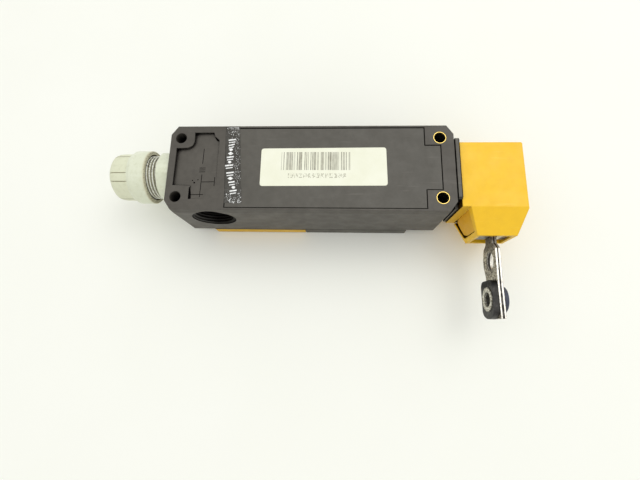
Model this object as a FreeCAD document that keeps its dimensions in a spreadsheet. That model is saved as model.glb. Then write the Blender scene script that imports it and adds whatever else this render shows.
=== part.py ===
import FreeCAD, Part
import os, re, math
import Sketcher

# Tongue interlock switch with guard locking.
# Frame: origin at the centre of the four mounting holes in the back face, Z = 0 on the
# back face, +Z out of the back face, +X from the cable end to the actuating head, and the
# actuator leaves the head along -Y. All sizes are millimetres.

doc = FreeCAD.newDocument("TongueInterlockSwitch")
V = FreeCAD.Vector
os.makedirs("parts", exist_ok=True)

# ---------------------------------------------------------------- driving dimensions
dims = [
    # housing
    ("body_xa", -67.2), ("body_xb", 68.6), ("body_hw", 21.9), ("body_depth", 31.8),
    ("corner_x", 3.6), ("corner_y", 5.0), ("edge_y", 0.6), ("edge_z", 3.2),
    ("wall", 2.9), ("back_wall", 4.0),
    ("hole_x", 62.14), ("hole_y", 15.0), ("hole_rad", 2.7),
    ("bush_out", 3.05), ("bush_in", 2.7),
    # chambers
    ("term_xa", -55.0), ("term_xb", -3.6), ("term_narrow", 13.8), ("term_step", -34.6),
    ("term_mouth", -49.6), ("front_wall", 3.8),
    ("mech_xa", -1.0), ("mech_xb", 48.0), ("ext_xb", 57.8), ("ext_y", 17.6), ("nose_xb", 63.6), ("nose_hw", 10.0),
    # back cover
    ("cover_xa", -38.3), ("cover_xb", 54.8), ("cover_hw", 20.0), ("cover_tip", 62.2),
    ("cover_tip_hw", 10.9), ("cover_thick", 2.3), ("cover_gap", 0.4), ("cover_sink", 0.2),
    ("rebate", 1.6),
    # pocket in the back of the cable end
    ("pocket_xa", -64.0), ("pocket_xb", -43.2), ("groove", 0.4),
    # conduit entries
    ("entry_x", -46.6), ("entry_z", -12.4), ("entry_rad", 10.0), ("entry_mouth", 10.6),
    ("gland_z", -13.6), ("gland_thread", 9.8),
    # lids
    ("lid_front", -39.4), ("tlid_xa", -52.5), ("tlid_xb", -3.2), ("mlid_xa", -2.9),
    ("mlid_xb", 51.0), ("lid_wall", 2.2), ("gasket_thick", 1.4), ("mgasket_thick", 0.8),
    # head
    ("axis_z", -15.5), ("head_xa", 71.2), ("head_xb", 101.1), ("head_far", 13.8),
    ("head_near", -18.5), ("head_hh", 13.8), ("snout_xa", 75.0), ("mouth_y", -30.7),
    ("mouth_xa", 78.8), ("mouth_xb", 96.9), ("mouth_hh", 8.4), ("mouth_wall", 1.6),
    ("flange_xa", 69.35), ("flange_hw", 15.3), ("flange_cut", 0.9), ("neck_rad", 7.8),
    ("headscrew_off", 9.6), ("headscrew_rad", 1.6),
    # actuator
    ("act_xa", 87.0), ("act_plate", 1.05), ("act_xb", 89.4), ("act_hh", 6.5),
    ("act_top", -9.2), ("act_low", -22.2), ("act_end", -68.1), ("bush_y", -59.3),
    ("eyelet_out", 5.6), ("eyelet_in", 3.4), ("slot_hh", 7.2), ("slot_gap", 0.7),
    # cam wheel
    ("cam_x", 78.6), ("cam_rad", 7.2), ("cam_nose", 9.4), ("cam_hh", 3.0), ("cam_pin", 2.0),
    ("cam_bore", 2.06), ("cam_low", 4.2), ("rod_up", 5.6), ("rod_rad", 1.3),
    ("bolt_rad", 2.4), ("fit", 0.06),
    # solenoid
    ("coil_xa", 17.0), ("coil_xb", 45.0), ("coil_rad", 10.6), ("core_rad", 5.0),
    ("yoke_hh", 12.4), ("yoke_t", 2.0),
]
sheet = doc.addObject("Spreadsheet::Sheet", "Dims")
names = {}
for i, (alias, value) in enumerate(dims):
    sheet.set("A%d" % (i + 1), alias)
    sheet.set("B%d" % (i + 1), repr(float(value)))
    sheet.setAlias("B%d" % (i + 1), alias)
    names[alias] = float(value)
doc.recompute()


def ex(e):
    """An expression in which every alias is read from the sheet."""
    return re.sub(r"[A-Za-z_][A-Za-z_0-9]*",
                  lambda m: "Dims." + m.group(0) if m.group(0) in names else m.group(0), str(e))


def val(e):
    """The number that a sheet expression stands for, for shapes made by code."""
    toks = re.sub(r"[A-Za-z_][A-Za-z_0-9]*",
                  lambda m: repr(float(sheet.get(m.group(0)))) if m.group(0) in names else m.group(0), str(e))
    return FreeCAD.Units.Quantity(toks).Value if toks.strip() else 0.0


uid = [0]


def name(base="g"):
    uid[0] += 1
    return "%s_%03d" % (base, uid[0])


def place(o, x, y, z, rot=None):
    if rot is not None:
        o.Placement.Rotation = rot
    o.setExpression("Placement.Base.x", ex(x))
    o.setExpression("Placement.Base.y", ex(y))
    o.setExpression("Placement.Base.z", ex(z))
    return o


def box(xa, xb, ya, yb, za, zb):
    o = doc.addObject("Part::Box", name("box"))
    o.setExpression("Length", ex("(%s) - (%s)" % (xb, xa)))
    o.setExpression("Width", ex("(%s) - (%s)" % (yb, ya)))
    o.setExpression("Height", ex("(%s) - (%s)" % (zb, za)))
    return place(o, xa, ya, za)


ALONG = {"x": FreeCAD.Rotation(V(0, 1, 0), 90), "y": FreeCAD.Rotation(V(1, 0, 0), -90),
         "z": FreeCAD.Rotation()}


def cyl(axis, x, y, z, r, length):
    """A cylinder from (x, y, z) along +axis."""
    o = doc.addObject("Part::Cylinder", name("cyl"))
    o.setExpression("Radius", ex(r))
    o.setExpression("Height", ex(length))
    return place(o, x, y, z, ALONG[axis])


def cone(axis, x, y, z, ra, rb, length):
    o = doc.addObject("Part::Cone", name("cone"))
    o.setExpression("Radius1", ex(ra))
    o.setExpression("Radius2", ex(rb))
    o.setExpression("Height", ex(length))
    return place(o, x, y, z, ALONG[axis])


def hexagon(axis, x, y, z, circumradius, length):
    o = doc.addObject("Part::Prism", name("prism"))
    o.Polygon = 6
    o.setExpression("Circumradius", ex(circumradius))
    o.setExpression("Height", ex(length))
    return place(o, x, y, z, ALONG[axis])


def fuse(*parts):
    parts = [p for p in parts if p is not None]
    if len(parts) == 1:
        return parts[0]
    o = doc.addObject("Part::MultiFuse", name("fuse"))
    o.Shapes = list(parts)
    o.Refine = True
    return o


def cut(base, *tools):
    o = doc.addObject("Part::Cut", name("cut"))
    o.Base = base
    o.Tool = fuse(*tools)
    o.Refine = True
    return o


def group(*solids):
    o = doc.addObject("Part::Compound", name("group"))
    o.Links = list(solids)
    return o


def prism(points, axis, lo, hi):
    """A straight prism over a polygon whose corners are sheet expressions.

    axis z: points are (x, y); axis x: points are (y, z); axis y: points are (x, z)."""
    p = [(val(a), val(b)) for a, b in points]
    lo, hi = val(lo), val(hi)
    if axis == "z":
        w = [V(a, b, lo) for a, b in p]
        d = V(0, 0, hi - lo)
    elif axis == "x":
        w = [V(lo, a, b) for a, b in p]
        d = V(hi - lo, 0, 0)
    else:
        w = [V(a, lo, b) for a, b in p]
        d = V(0, hi - lo, 0)
    o = doc.addObject("Part::Feature", name("prism"))
    o.Shape = Part.Face(Part.makePolygon(w + [w[0]])).extrude(d)
    return o


def plane_of(body, role):
    return [f for f in body.Origin.OriginFeatures if getattr(f, "Role", "") == role][0]


def sketch_poly(body, sk_name, role, pts, offset=None):
    """A closed polygon sketch on one of the body's origin planes."""
    sk = body.newObject("Sketcher::SketchObject", sk_name)
    sk.AttachmentSupport = [(plane_of(body, role), "")]
    sk.MapMode = "FlatFace"
    n = len(pts)
    for i in range(n):
        a, b = pts[i], pts[(i + 1) % n]
        sk.addGeometry(Part.LineSegment(V(a[0], a[1], 0), V(b[0], b[1], 0)), False)
    for i in range(n):
        sk.addConstraint(Sketcher.Constraint("Coincident", i, 2, (i + 1) % n, 1))
    if offset is not None:
        sk.setExpression("AttachmentOffset.Base.z", ex(offset))
    return sk


OUT = {}


def node(label, obj):
    """Names a finished sub-part; the label is also the name of its file."""
    obj.Label = label
    OUT[label] = obj
    return obj


# ---------------------------------------------------------------- housing
# The outer block is a padded outline with clipped corners. Chambers, entries and holes are
# cut from it.
hb = doc.addObject("PartDesign::Body", "HousingBlock")
xa, xb, hw = names["body_xa"], names["body_xb"], names["body_hw"]
cx, cy = names["corner_x"], names["corner_y"]
outline = [(xa + cx, -hw), (xb - cx, -hw), (xb, -hw + cy), (xb, hw - cy),
           (xb - cx, hw), (xa + cx, hw), (xa, hw - cy), (xa, -hw + cy)]
sk = sketch_poly(hb, "HousingOutline", "XY_Plane", outline)
# the outline's two long edges follow the sheet
for geo, value, e in ((0, -hw, "-body_hw"), (4, hw, "body_hw")):
    c = sk.addConstraint(Sketcher.Constraint("DistanceY", -1, 1, geo, 1, value))
    sk.setExpression("Constraints[%d]" % c, ex(e))
pad = hb.newObject("PartDesign::Pad", "HousingPad")
pad.Profile = sk
pad.setExpression("Length", ex("body_depth"))
pad.Reversed = True
doc.recompute()

# clipped long edges of the back face
edge_cut = [prism([(s + "(body_hw)", "0 - edge_z"), (s + "(body_hw + 1)", "0 - edge_z"),
                   (s + "(body_hw + 1)", "0.5"), (s + "(body_hw - edge_y)", "0.5"), (s + "(body_hw - edge_y)", "0")],
                  "x", "body_xa - 1", "body_xb + 1") for s in ("1*", "-1*")]

hole_tools = [cyl("z", "-hole_x", s + "hole_y", "0 - body_depth - 1", "hole_rad", "body_depth + 2") for s in ("", "-")]
bush_tools = [cyl("z", "hole_x", s + "hole_y", "0 - body_depth - 1", "bush_out", "body_depth + 2") for s in ("", "-")]

# wiring chamber, open at the front; it is narrow beside the conduit entries so that they
# have a full length of thread
term = fuse(box("term_xa", "term_step", "-term_narrow", "term_narrow", "front_wall - body_depth", "-back_wall"),
            box("term_mouth", "term_step", "-term_narrow", "term_narrow", "0 - body_depth - 1", "front_wall - body_depth + 0.01"),
            box("term_step - 0.01", "term_xb", "wall - body_hw", "body_hw - wall", "0 - body_depth - 1", "-back_wall"))
# mechanism chamber, open at the front and under the back cover
mech = fuse(box("mech_xa", "mech_xb", "wall - body_hw", "body_hw - wall", "0 - body_depth - 1", "-cover_thick + 0.5"),
            box("mech_xb - 0.01", "ext_xb", "-nose_hw", "ext_y", "front_wall - body_depth", "-cover_thick + 0.5"),
            box("mech_xb - 0.01", "nose_xb", "-nose_hw", "nose_hw", "front_wall - body_depth", "-cover_thick + 0.5"))
# stepped opening for the back cover
rebate = fuse(box("cover_xa - cover_gap", "cover_xb + cover_gap", "-cover_hw - cover_gap", "cover_hw + cover_gap",
                  "0 - cover_thick", "1"),
              box("cover_xb - 1", "cover_tip + cover_gap", "-cover_tip_hw - cover_gap", "cover_tip_hw + cover_gap",
                  "0 - cover_thick", "1"))
window = box("cover_xa + rebate", "term_xb - 0.01", "-cover_hw + rebate", "cover_hw - rebate", "0 - back_wall - 1", "1")

# shallow pocket in the back of the cable end: its floor is a tilted plane, deepest at the far
# corner and level with the back face towards the middle and the near side
def floor_z(x, y):
    return 1.72 + 0.0475 * x - 0.031 * y


def above_floor(drop):
    """Everything over the pocket's tilted floor, lowered by drop."""
    q = [V(x, y, floor_z(x, y) - drop) for x, y in ((-66, -20), (-41, -20), (-41, 20), (-66, 20))]
    o = doc.addObject("Part::Feature", name("floor"))
    o.Shape = Part.Face(Part.makePolygon(q + [q[0]])).extrude(V(0, 0, 4.5))
    return o


def common(*parts):
    o = doc.addObject("Part::MultiCommon", name("common"))
    o.Shapes = list(parts)
    return o


plan = prism([("pocket_xa", "-9.3"), ("-55.5", "-9.6"), ("-55.5", "-16"), ("-43.2", "-16"), ("-43.2", "13.2"),
              ("-45", "14.6"), ("-46.1", "18"), ("-55.6", "18"), ("-55.5", "13"), ("-56.4", "11"),
              ("-58.3", "10"), ("pocket_xa", "9.8")], "z", "-3", "1")
pocket = common(plan, above_floor(0.0))
# narrow engraved lines in the pocket floor
lines = [("-50.85", "-50.55", "1.9", "9.8"), ("-52", "-49", "-0.5", "-0.2"), ("-52", "-49", "-1.5", "-1.2"),
         ("-52", "-49", "-2.5", "-2.2"), ("-50.65", "-50.35", "-15.2", "-3.7"), ("-50.4", "-43.9", "-7.7", "-7.4"),
         ("-44.15", "-43.85", "-9.7", "-5.2"), ("-55.3", "-48.9", "-14.1", "-13.8")]
grooves = common(fuse(*[box(x0, x1, y0, y1, "-3", "0.5") for x0, x1, y0, y1 in lines]), above_floor(names["groove"]))
nicks = fuse(box("-54.2", "-53.4", "-8.2", "-7.5", "-1.7", "0.5"), box("-55.1", "-54.5", "-7.0", "-6.5", "-1.7", "0.5"),
             box("-52.4", "-51.9", "-6.6", "-6.1", "-1.7", "0.5"),
             prism([("-55.9", "-10.4"), ("-55.5", "-10.4"), ("-54.9", "-13.2"), ("-54.6", "-16.2"), ("-55.9", "-16.2")], "z", "-1.7", "0.5"),
             prism([("-46.1", "16.4"), ("-44.9", "14.2"), ("-43.4", "13.2"), ("-43.2", "13.9"), ("-44.3", "14.9")], "z", "-1.6", "0.5"))

# shallow seat that lets the seal film cross the seam level with the cover
STRIP = [("-40.6", "20.9"), ("-33.7", "20.9"), ("-32.2", "1.4"), ("-30.5", "-18.1"), ("-38.5", "-18.1"), ("-39.6", "1.4")]
seal_seat = prism(STRIP, "z", "0 - cover_sink", "1")

side_entry = fuse(cyl("y", "entry_x", "-body_hw - 1", "entry_z", "entry_rad", "body_hw - term_narrow + 1.5"),
                  cone("y", "entry_x", "-body_hw - 0.05", "entry_z", "entry_mouth", "entry_rad", "0.6"))
end_entry = cyl("x", "body_xa - 1", "0", "gland_z", "gland_thread", "term_xa - body_xa + 1.5")

# guides in the head-end wall for the locking bolt and the switching rod
guides = fuse(cyl("x", "nose_xb - 1", "0", "axis_z", "bolt_rad + fit", "body_xb - nose_xb + 2"),
              cyl("x", "nose_xb - 1", "0", "axis_z + rod_up", "rod_rad + fit", "body_xb - nose_xb + 2"))
# slot in the wall between the chambers for the switching slider's arm
arm_slot = box("term_xb - 0.5", "mech_xa + 0.5", "13.6", "17.8", "-12.4", "-7.2")
# seat for the auxiliary release screw in the front wall
release_seat = fuse(cyl("z", "57.6", "0", "0 - body_depth - 1", "5.2", "2.6"),
                    cyl("z", "57.6", "0", "0 - body_depth - 1", "2.46", "6"))
# threaded holes for the lid screws
post_x = ["-48.9", "-6.8", "1.6", "47.2"]
posts = [box("%s - 2.6" % px, "%s + 2.6" % px, s + ("(body_hw - wall - 4)" if s == "1*" else "(body_hw - wall)"),
             s + ("(body_hw - wall)" if s == "1*" else "(body_hw - wall - 4)"), "0 - body_depth", "-16")
         for px in post_x[1:] for s in ("1*", "-1*")]
post_holes = [cyl("z", px, s + "(body_hw - wall - 1.4)", "0 - body_depth - 1", "1.25", "9") for px in post_x for s in ("1*", "-1*")]

shell = cut(hb, *(edge_cut + hole_tools + bush_tools + [term, mech, rebate, window, pocket, grooves, nicks, side_entry, end_entry,
                                                        guides, arm_slot, release_seat, seal_seat]))
housing = cut(fuse(shell, *posts), *post_holes)
node("housing", housing)

# brass bushes in the two head-end mounting holes
node("mounting_bushes", group(*[cut(cyl("z", "hole_x", s + "hole_y", "0 - body_depth", "bush_out", "body_depth"),
                                    cyl("z", "hole_x", s + "hole_y", "0 - body_depth - 1", "bush_in", "body_depth + 2"))
                                for s in ("", "-")]))

# back cover, set in the housing's rebate with a narrow seam all round
bc = doc.addObject("PartDesign::Body", "BackCoverBody")
ca, cb, chw, ct, cth = (names[k] for k in ("cover_xa", "cover_xb", "cover_hw", "cover_tip", "cover_tip_hw"))
sk = sketch_poly(bc, "CoverOutline", "XY_Plane",
                 [(ca, -chw), (cb, -chw), (cb, -cth), (ct, -cth), (ct, cth), (cb, cth), (cb, chw), (ca, chw)],
                 offset="0 - cover_thick")
padc = bc.newObject("PartDesign::Pad", "CoverPad")
padc.Profile = sk
padc.setExpression("Length", ex("cover_thick - cover_sink"))
doc.recompute()
node("back_cover", bc)

# ---------------------------------------------------------------- front lids and gaskets
def ring(xa_, xb_, za_, zb_, wall_):
    return cut(box(xa_, xb_, "-body_hw", "body_hw", za_, zb_),
               box("(%s) + %s" % (xa_, wall_), "(%s) - %s" % (xb_, wall_), "%s - body_hw" % wall_, "body_hw - %s" % wall_,
                   "(%s) - 1" % za_, "(%s) + 1" % zb_))


def lid_hole(px, s, r, za_, length):
    return cyl("z", px, s + "(body_hw - wall - 1.4)", za_, r, length)


gt = "0 - body_depth - gasket_thick"
mt = "0 - body_depth - mgasket_thick"
tp, mp = post_x[:2], post_x[2:]
tbosses = [box("%s - 2.6" % px, "%s + 2.6" % px, s + ("(body_hw - 7)" if s == "1*" else "body_hw"),
               s + ("body_hw" if s == "1*" else "(body_hw - 7)"), "lid_front", gt) for px in tp for s in ("1*", "-1*")]
mbosses = [box("%s - 2.6" % px, "%s + 2.6" % px, s + ("(body_hw - 7)" if s == "1*" else "body_hw"),
               s + ("body_hw" if s == "1*" else "(body_hw - 7)"), "lid_front", mt) for px in mp for s in ("1*", "-1*")]
gbosses = [box("%s - 2.6" % px, "%s + 2.6" % px, s + ("(body_hw - 7)" if s == "1*" else "body_hw"),
               s + ("body_hw" if s == "1*" else "(body_hw - 7)"), gt, "-body_depth") for px in tp for s in ("1*", "-1*")]
mgbosses = [box("%s - 2.6" % px, "%s + 2.6" % px, s + ("(body_hw - 7)" if s == "1*" else "body_hw"),
                s + ("body_hw" if s == "1*" else "(body_hw - 7)"), mt, "-body_depth") for px in mp for s in ("1*", "-1*")]
node("terminal_gasket", cut(fuse(ring("tlid_xa", "tlid_xb", gt, "-body_depth", "3"), *gbosses),
                            *[lid_hole(px, s, "1.7", "lid_front - 1", "12") for px in tp for s in ("1*", "-1*")]))
node("mechanism_gasket", cut(fuse(ring("mlid_xa", "mlid_xb", mt, "-body_depth", "3"), *mgbosses),
                             *[lid_hole(px, s, "1.7", "lid_front - 1", "12") for px in mp for s in ("1*", "-1*")]))


def lid(xa_, xb_, top, bosses, pts):
    outer = doc.addObject("Part::Chamfer", name("lidedge"))
    blk = box(xa_, xb_, "-body_hw", "body_hw", "lid_front", top)
    doc.recompute()
    outer.Base = blk
    zf = names["lid_front"]
    edges = [i + 1 for i, e in enumerate(blk.Shape.Edges) if abs(e.BoundBox.ZMin - zf) < 1e-6 and abs(e.BoundBox.ZMax - zf) < 1e-6]
    outer.Edges = [(i, 0.8, 0.8) for i in edges]
    hollow = box("(%s) + lid_wall" % xa_, "(%s) - lid_wall" % xb_, "lid_wall - body_hw", "body_hw - lid_wall",
                 "lid_front + lid_wall", "(%s) + 1" % top)
    o = cut(outer, hollow)
    o = fuse(o, *bosses)
    tools = [lid_hole(px, s, "1.7", "lid_front - 1", "12") for px, s in pts] + \
            [lid_hole(px, s, "2.9", "lid_front - 1", "3.4") for px, s in pts]
    return cut(o, *tools)


tb_in = [box("%s - 2.6" % px, "%s + 2.6" % px, s + ("(body_hw - 7)" if s == "1*" else "(body_hw - 1)"),
             s + ("(body_hw - 1)" if s == "1*" else "(body_hw - 7)"), "lid_front + 1", gt) for px in tp for s in ("1*", "-1*")]
mb_in = [box("%s - 2.6" % px, "%s + 2.6" % px, s + ("(body_hw - 7)" if s == "1*" else "(body_hw - 1)"),
             s + ("(body_hw - 1)" if s == "1*" else "(body_hw - 7)"), "lid_front + 1", mt) for px in mp for s in ("1*", "-1*")]
node("terminal_lid", lid("tlid_xa", "tlid_xb", gt, tb_in, [(px, s) for px in tp for s in ("1*", "-1*")]))
node("mechanism_lid", lid("mlid_xa", "mlid_xb", mt, mb_in, [(px, s) for px in mp for s in ("1*", "-1*")]))


def lid_screws(pts, plane):
    out = []
    for px in pts:
        for s in ("1*", "-1*"):
            yy = s + "(body_hw - wall - 1.4)"
            head = cut(cyl("z", px, yy, "lid_front + 0.4", "2.75", "2"),
                       box("%s - 2" % px, "%s + 2" % px, yy + " - 0.4", yy + " + 0.4", "lid_front", "lid_front + 1.3"),
                       box("%s - 0.4" % px, "%s + 0.4" % px, yy + " - 2", yy + " + 2", "lid_front", "lid_front + 1.3"))
            out.append(fuse(head, cyl("z", px, yy, "lid_front + 2.3", "1.25", "12.5")))
    return group(*out)


node("terminal_lid_screws", lid_screws(tp, gt))
node("mechanism_lid_screws", lid_screws(mp, mt))

# ---------------------------------------------------------------- neck and head
az = "axis_z"
fl = [("flange_hw - flange_cut", "axis_z + flange_hw"), ("flange_hw", "axis_z + flange_hw - flange_cut"),
      ("flange_hw", "axis_z - flange_hw + flange_cut"), ("flange_hw - flange_cut", "axis_z - flange_hw"),
      ("flange_cut - flange_hw", "axis_z - flange_hw"), ("-flange_hw", "axis_z - flange_hw + flange_cut"),
      ("-flange_hw", "axis_z + flange_hw - flange_cut"), ("flange_cut - flange_hw", "axis_z + flange_hw")]
scr = [(a + "headscrew_off", "axis_z " + b + " headscrew_off") for a in ("", "-") for b in ("+", "-")]
# the flange reaches further towards -Y below a ledge, behind the head's near side
skirt = box("flange_xa", "head_xa - 0.45", "head_near + 0.2", "0.5 - flange_hw", "-27.5", "-6.8")
node("neck_flange", cut(fuse(prism(fl, "x", "flange_xa", "head_xa"), skirt),
                        cyl("x", "flange_xa - 1", "0", az, "neck_rad", "4"),
                        *[cyl("x", "flange_xa - 1", y, z, "headscrew_rad + 0.1", "4") for y, z in scr]))
node("neck_gasket", cut(box("body_xb", "flange_xa", "-13", "13", "axis_z - 13", "axis_z + 13"),
                        cyl("x", "body_xb - 1", "0", az, "neck_rad", "3"),
                        *[cyl("x", "body_xb - 1", y, z, "headscrew_rad + 0.1", "3") for y, z in scr]))

# head: a square block about the turret axis with a tapered snout towards -Y
block = box("head_xa", "head_xb", "head_near", "head_far", "axis_z - head_hh", "axis_z + head_hh")
snout = doc.addObject("Part::Wedge", "SnoutTaper")
for prop, e in (("Ymin", "mouth_y"), ("Ymax", "head_near"), ("Xmin", "mouth_xa"), ("Xmax", "mouth_xb"),
                ("Zmin", "axis_z - mouth_hh"), ("Zmax", "axis_z + mouth_hh"), ("X2min", "snout_xa"), ("X2max", "head_xb"),
                ("Z2min", "axis_z - head_hh"), ("Z2max", "axis_z + head_hh")):
    snout.setExpression(prop, ex(e))
doc.recompute()
blunt = fuse(block, snout)
doc.recompute()
# softened outer edges of the head
raw = doc.addObject("Part::Fillet", "HeadEdges")
raw.Base = blunt


def far_or_end(e):
    """The straight edges round the head's outer end and its far side."""
    bb = e.BoundBox
    end = abs(bb.XMin - names["head_xb"]) < 1e-6 and bb.YMin > names["head_near"] - 1e-6
    far = abs(bb.YMin - names["head_far"]) < 1e-6 and abs(bb.YMax - names["head_far"]) < 1e-6 and bb.XLength > 5
    return end or far


raw.Edges = [(i + 1, 0.9, 0.9) for i, e in enumerate(blunt.Shape.Edges) if far_or_end(e)]
doc.recompute()
# slim bevel on the near edge beside the snout and round the outer end
bevel = prism([("head_near - 1", "axis_z + head_hh - 1.2"), ("head_near + 1.2", "axis_z + head_hh + 1"),
               ("head_near - 1", "axis_z + head_hh + 1")], "x", "head_xa - 1", "snout_xa")

ta = "act_xa - slot_gap"
tb = "act_xb + slot_gap"
slot = box(ta, tb, "mouth_y - 1", "11.4", "axis_z - slot_hh", "axis_z + slot_hh")
mouth = box("mouth_xa + mouth_wall", "mouth_xb - mouth_wall", "mouth_y - 1", "-24.6", "axis_z - mouth_hh + mouth_wall",
            "axis_z + mouth_hh - mouth_wall")
wheel_room = box("head_xa - 1", "act_xa + 2.4", "-10.2", "10.2", "axis_z - 3.6", "axis_z + 3.6")
drum_room = box("head_xa - 1", "cam_x + 8", "-8.2", "8.2", "axis_z + 3.5", "axis_z + 7.9")
pin_hole = cyl("z", "cam_x", "0", "axis_z - head_hh - 1", "cam_pin", "head_hh + 11.6")
screw_ways = [cyl("x", "head_xa - 1", y, z, "headscrew_rad + 0.1", "31") for y, z in scr] + \
             [cyl("x", "head_xb - 3", y, z, "3.0", "4") for y, z in scr]
# recess in the snout's cable-side face for the blanking insert
sx, sy = names["snout_xa"], names["head_near"]
mx, my = names["mouth_xa"], names["mouth_y"]
L = math.hypot(mx - sx, my - sy)
du = V((mx - sx) / L, (my - sy) / L, 0)
nn = V(du.y, -du.x, 0)
org = V(sx, sy, 0)


def face_prism(uz, lo, hi):
    w = [org + du * u + V(0, 0, z) + nn * lo for u, z in uz]
    o = doc.addObject("Part::Feature", name("insert"))
    o.Shape = Part.Face(Part.makePolygon(w + [w[0]])).extrude(nn * (hi - lo))
    return o


ins = [(0.15, -29.7), (0.75, -29.7), (0.85, -27.6), (3.0, -26.5), (6.0, -25.5), (10.0, -23.6), (10.6, -22.2), (10.6, -8.6),
       (0.15, -5.6)]
ins_in = [(0.9, -24.4), (1.5, -25.2), (4.75, -24.7), (8.6, -23.3), (9.7, -20.6), (10.1, -18.4), (10.2, -9.0), (0.15, -6.1),
          (0.15, -23.8)]
recess = face_prism(ins, -1.9, 1.0)
head = cut(raw, bevel, slot, mouth, wheel_room, drum_room, pin_hole, recess, *screw_ways)
node("head_body", head)
node("snout_insert", face_prism(ins_in, -1.9, -0.6))
node("cam_pin", cyl("z", "cam_x", "0", "axis_z - head_hh + 0.4", "cam_pin", "head_hh + 10"))

hs = []
for y, z in scr:
    h = cut(cyl("x", "head_xb - 3", y, z, "2.85", "2.4"),
            hexagon("x", "head_xb - 1.9", y, z, "1.7", "2"))
    hs.append(fuse(h, cyl("x", "body_xb - 4", y, z, "headscrew_rad", "head_xb - body_xb + 2")))
node("head_screws", group(*hs))

# the head screws bite into the housing's end wall
hsh = [cyl("x", "body_xb - 4", y, z, "headscrew_rad", "6") for y, z in scr]
OUT["housing"].Label = "housing_blank"
node("housing", cut(OUT["housing"], *hsh))

# metal guides on both sides of the tongue just inside the mouth
gz = ("axis_z - 3.2", "axis_z + 3.2")
node("entry_guides", group(box("mouth_xa + mouth_wall", ta, "mouth_y + 0.9", "-24.6", *gz),
                           box(tb, "mouth_xb - mouth_wall", "mouth_y + 0.9", "-24.6", *gz)))

# ---------------------------------------------------------------- cam wheel
ccx = names["cam_x"]
disc = cyl("z", "cam_x", "0", "axis_z - cam_hh", "cam_rad", "2*cam_hh")
nose = box("cam_x", "cam_x + cam_nose", "-1.7", "1.7", "axis_z - cam_hh", "axis_z + cam_hh")


def notch(angle):
    """A lock notch in the wheel's rim, at an angle from the nose."""
    b = doc.addObject("Part::Box", name("notch"))
    b.Length, b.Width, b.Height = 6.0, 5.5, 9.0
    a = math.radians(angle)
    inner = names["cam_rad"] - 4.0
    c = V(ccx + inner * math.cos(a), inner * math.sin(a), names["axis_z"] - 4.5)
    off = V(-math.sin(a), math.cos(a), 0) * -2.75
    b.Placement = FreeCAD.Placement(c + off, FreeCAD.Rotation(V(0, 0, 1), angle))
    return b


SWING = 130.5
# spiral drum: its radius grows evenly over the working turn and falls back after it
drum_pts = []
lo_r, hi_r = names["cam_low"], names["cam_rad"]
for k in range(0, 361, 5):
    d = float(k)
    if d <= 0:
        rr = lo_r
    elif d <= SWING:
        rr = lo_r + (hi_r - lo_r) * d / SWING
    elif d <= SWING + 9:
        rr = hi_r
    elif d <= SWING + 40:
        rr = hi_r - (hi_r - lo_r) * (d - SWING - 9) / 31.0
    else:
        rr = lo_r
    a = math.radians(180 + d)
    drum_pts.append(V(ccx + rr * math.cos(a), rr * math.sin(a), names["axis_z"] + names["cam_hh"]))
drum = doc.addObject("Part::Feature", "CamDrum")
drum.Shape = Part.Face(Part.makePolygon(drum_pts[:-1] + [drum_pts[0]])).extrude(V(0, 0, 4.4))
wheel = cut(fuse(disc, nose, drum), notch(180.0), notch(180.0 + SWING),
            cyl("z", "cam_x", "0", "axis_z - cam_hh - 1", "cam_bore", "14"))
node("cam_wheel", wheel)

# ---------------------------------------------------------------- actuator tongue
zt, zl, aw = names["act_top"], names["act_low"], names["axis_z"]
outer_pts = [(-68.1, zt + 0.3), (-52.0, zt - 0.2), (-36.0, zt), (-33.0, aw + 3.1), (-20.0, aw + 3.1), (-17.6, aw + 6.3),
             (9.2, aw + 6.3), (10.4, aw + 5.1), (10.4, aw - 5.1), (9.2, aw - 6.3), (-17.6, aw - 6.3), (-20.0, aw - 3.6),
             (-32.4, aw - 4.1), (-33.4, aw - 5.2), (-34.4, zl - 0.1), (-36.2, zl - 1.1), (-39.5, zl - 1.9), (-43.0, zl - 1.9),
             (-45.4, zl - 1.1), (-47.8, zl - 0.3), (-51.0, zl - 0.2), (-56.0, zl + 0.2), (-68.1, zl + 0.4)]


def lamination(x0):
    w = [V(x0, y, z) for y, z in outer_pts]
    base = doc.addObject("Part::Feature", name("lamination"))
    base.Shape = Part.Face(Part.makePolygon(w + [w[0]])).extrude(V(names["act_plate"], 0, 0))
    win = doc.addObject("Part::Feature", name("window"))
    oval = Part.Ellipse(V(0, 0, 0), 4.5, 4.05)
    f = Part.Face(Part.Wire([oval.toShape()]))
    f.Placement = FreeCAD.Placement(V(x0 - 1, -41.2, -16.1), FreeCAD.Rotation(V(1, 1, 1), 120))
    win.Shape = f.extrude(V(4, 0, 0))
    cam_win = box("%g" % (x0 - 1), "%g" % (x0 + 4), "-2.6", "8.3", "axis_z - 3.6", "axis_z + 3.6")
    eye = cyl("x", "%g" % (x0 - 1), "bush_y", az, "4.55", "6")
    return cut(base, win, cam_win, eye)


node("actuator_plate_left", lamination(names["act_xa"]))
node("actuator_plate_right", lamination(names["act_xb"] - names["act_plate"]))


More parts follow.
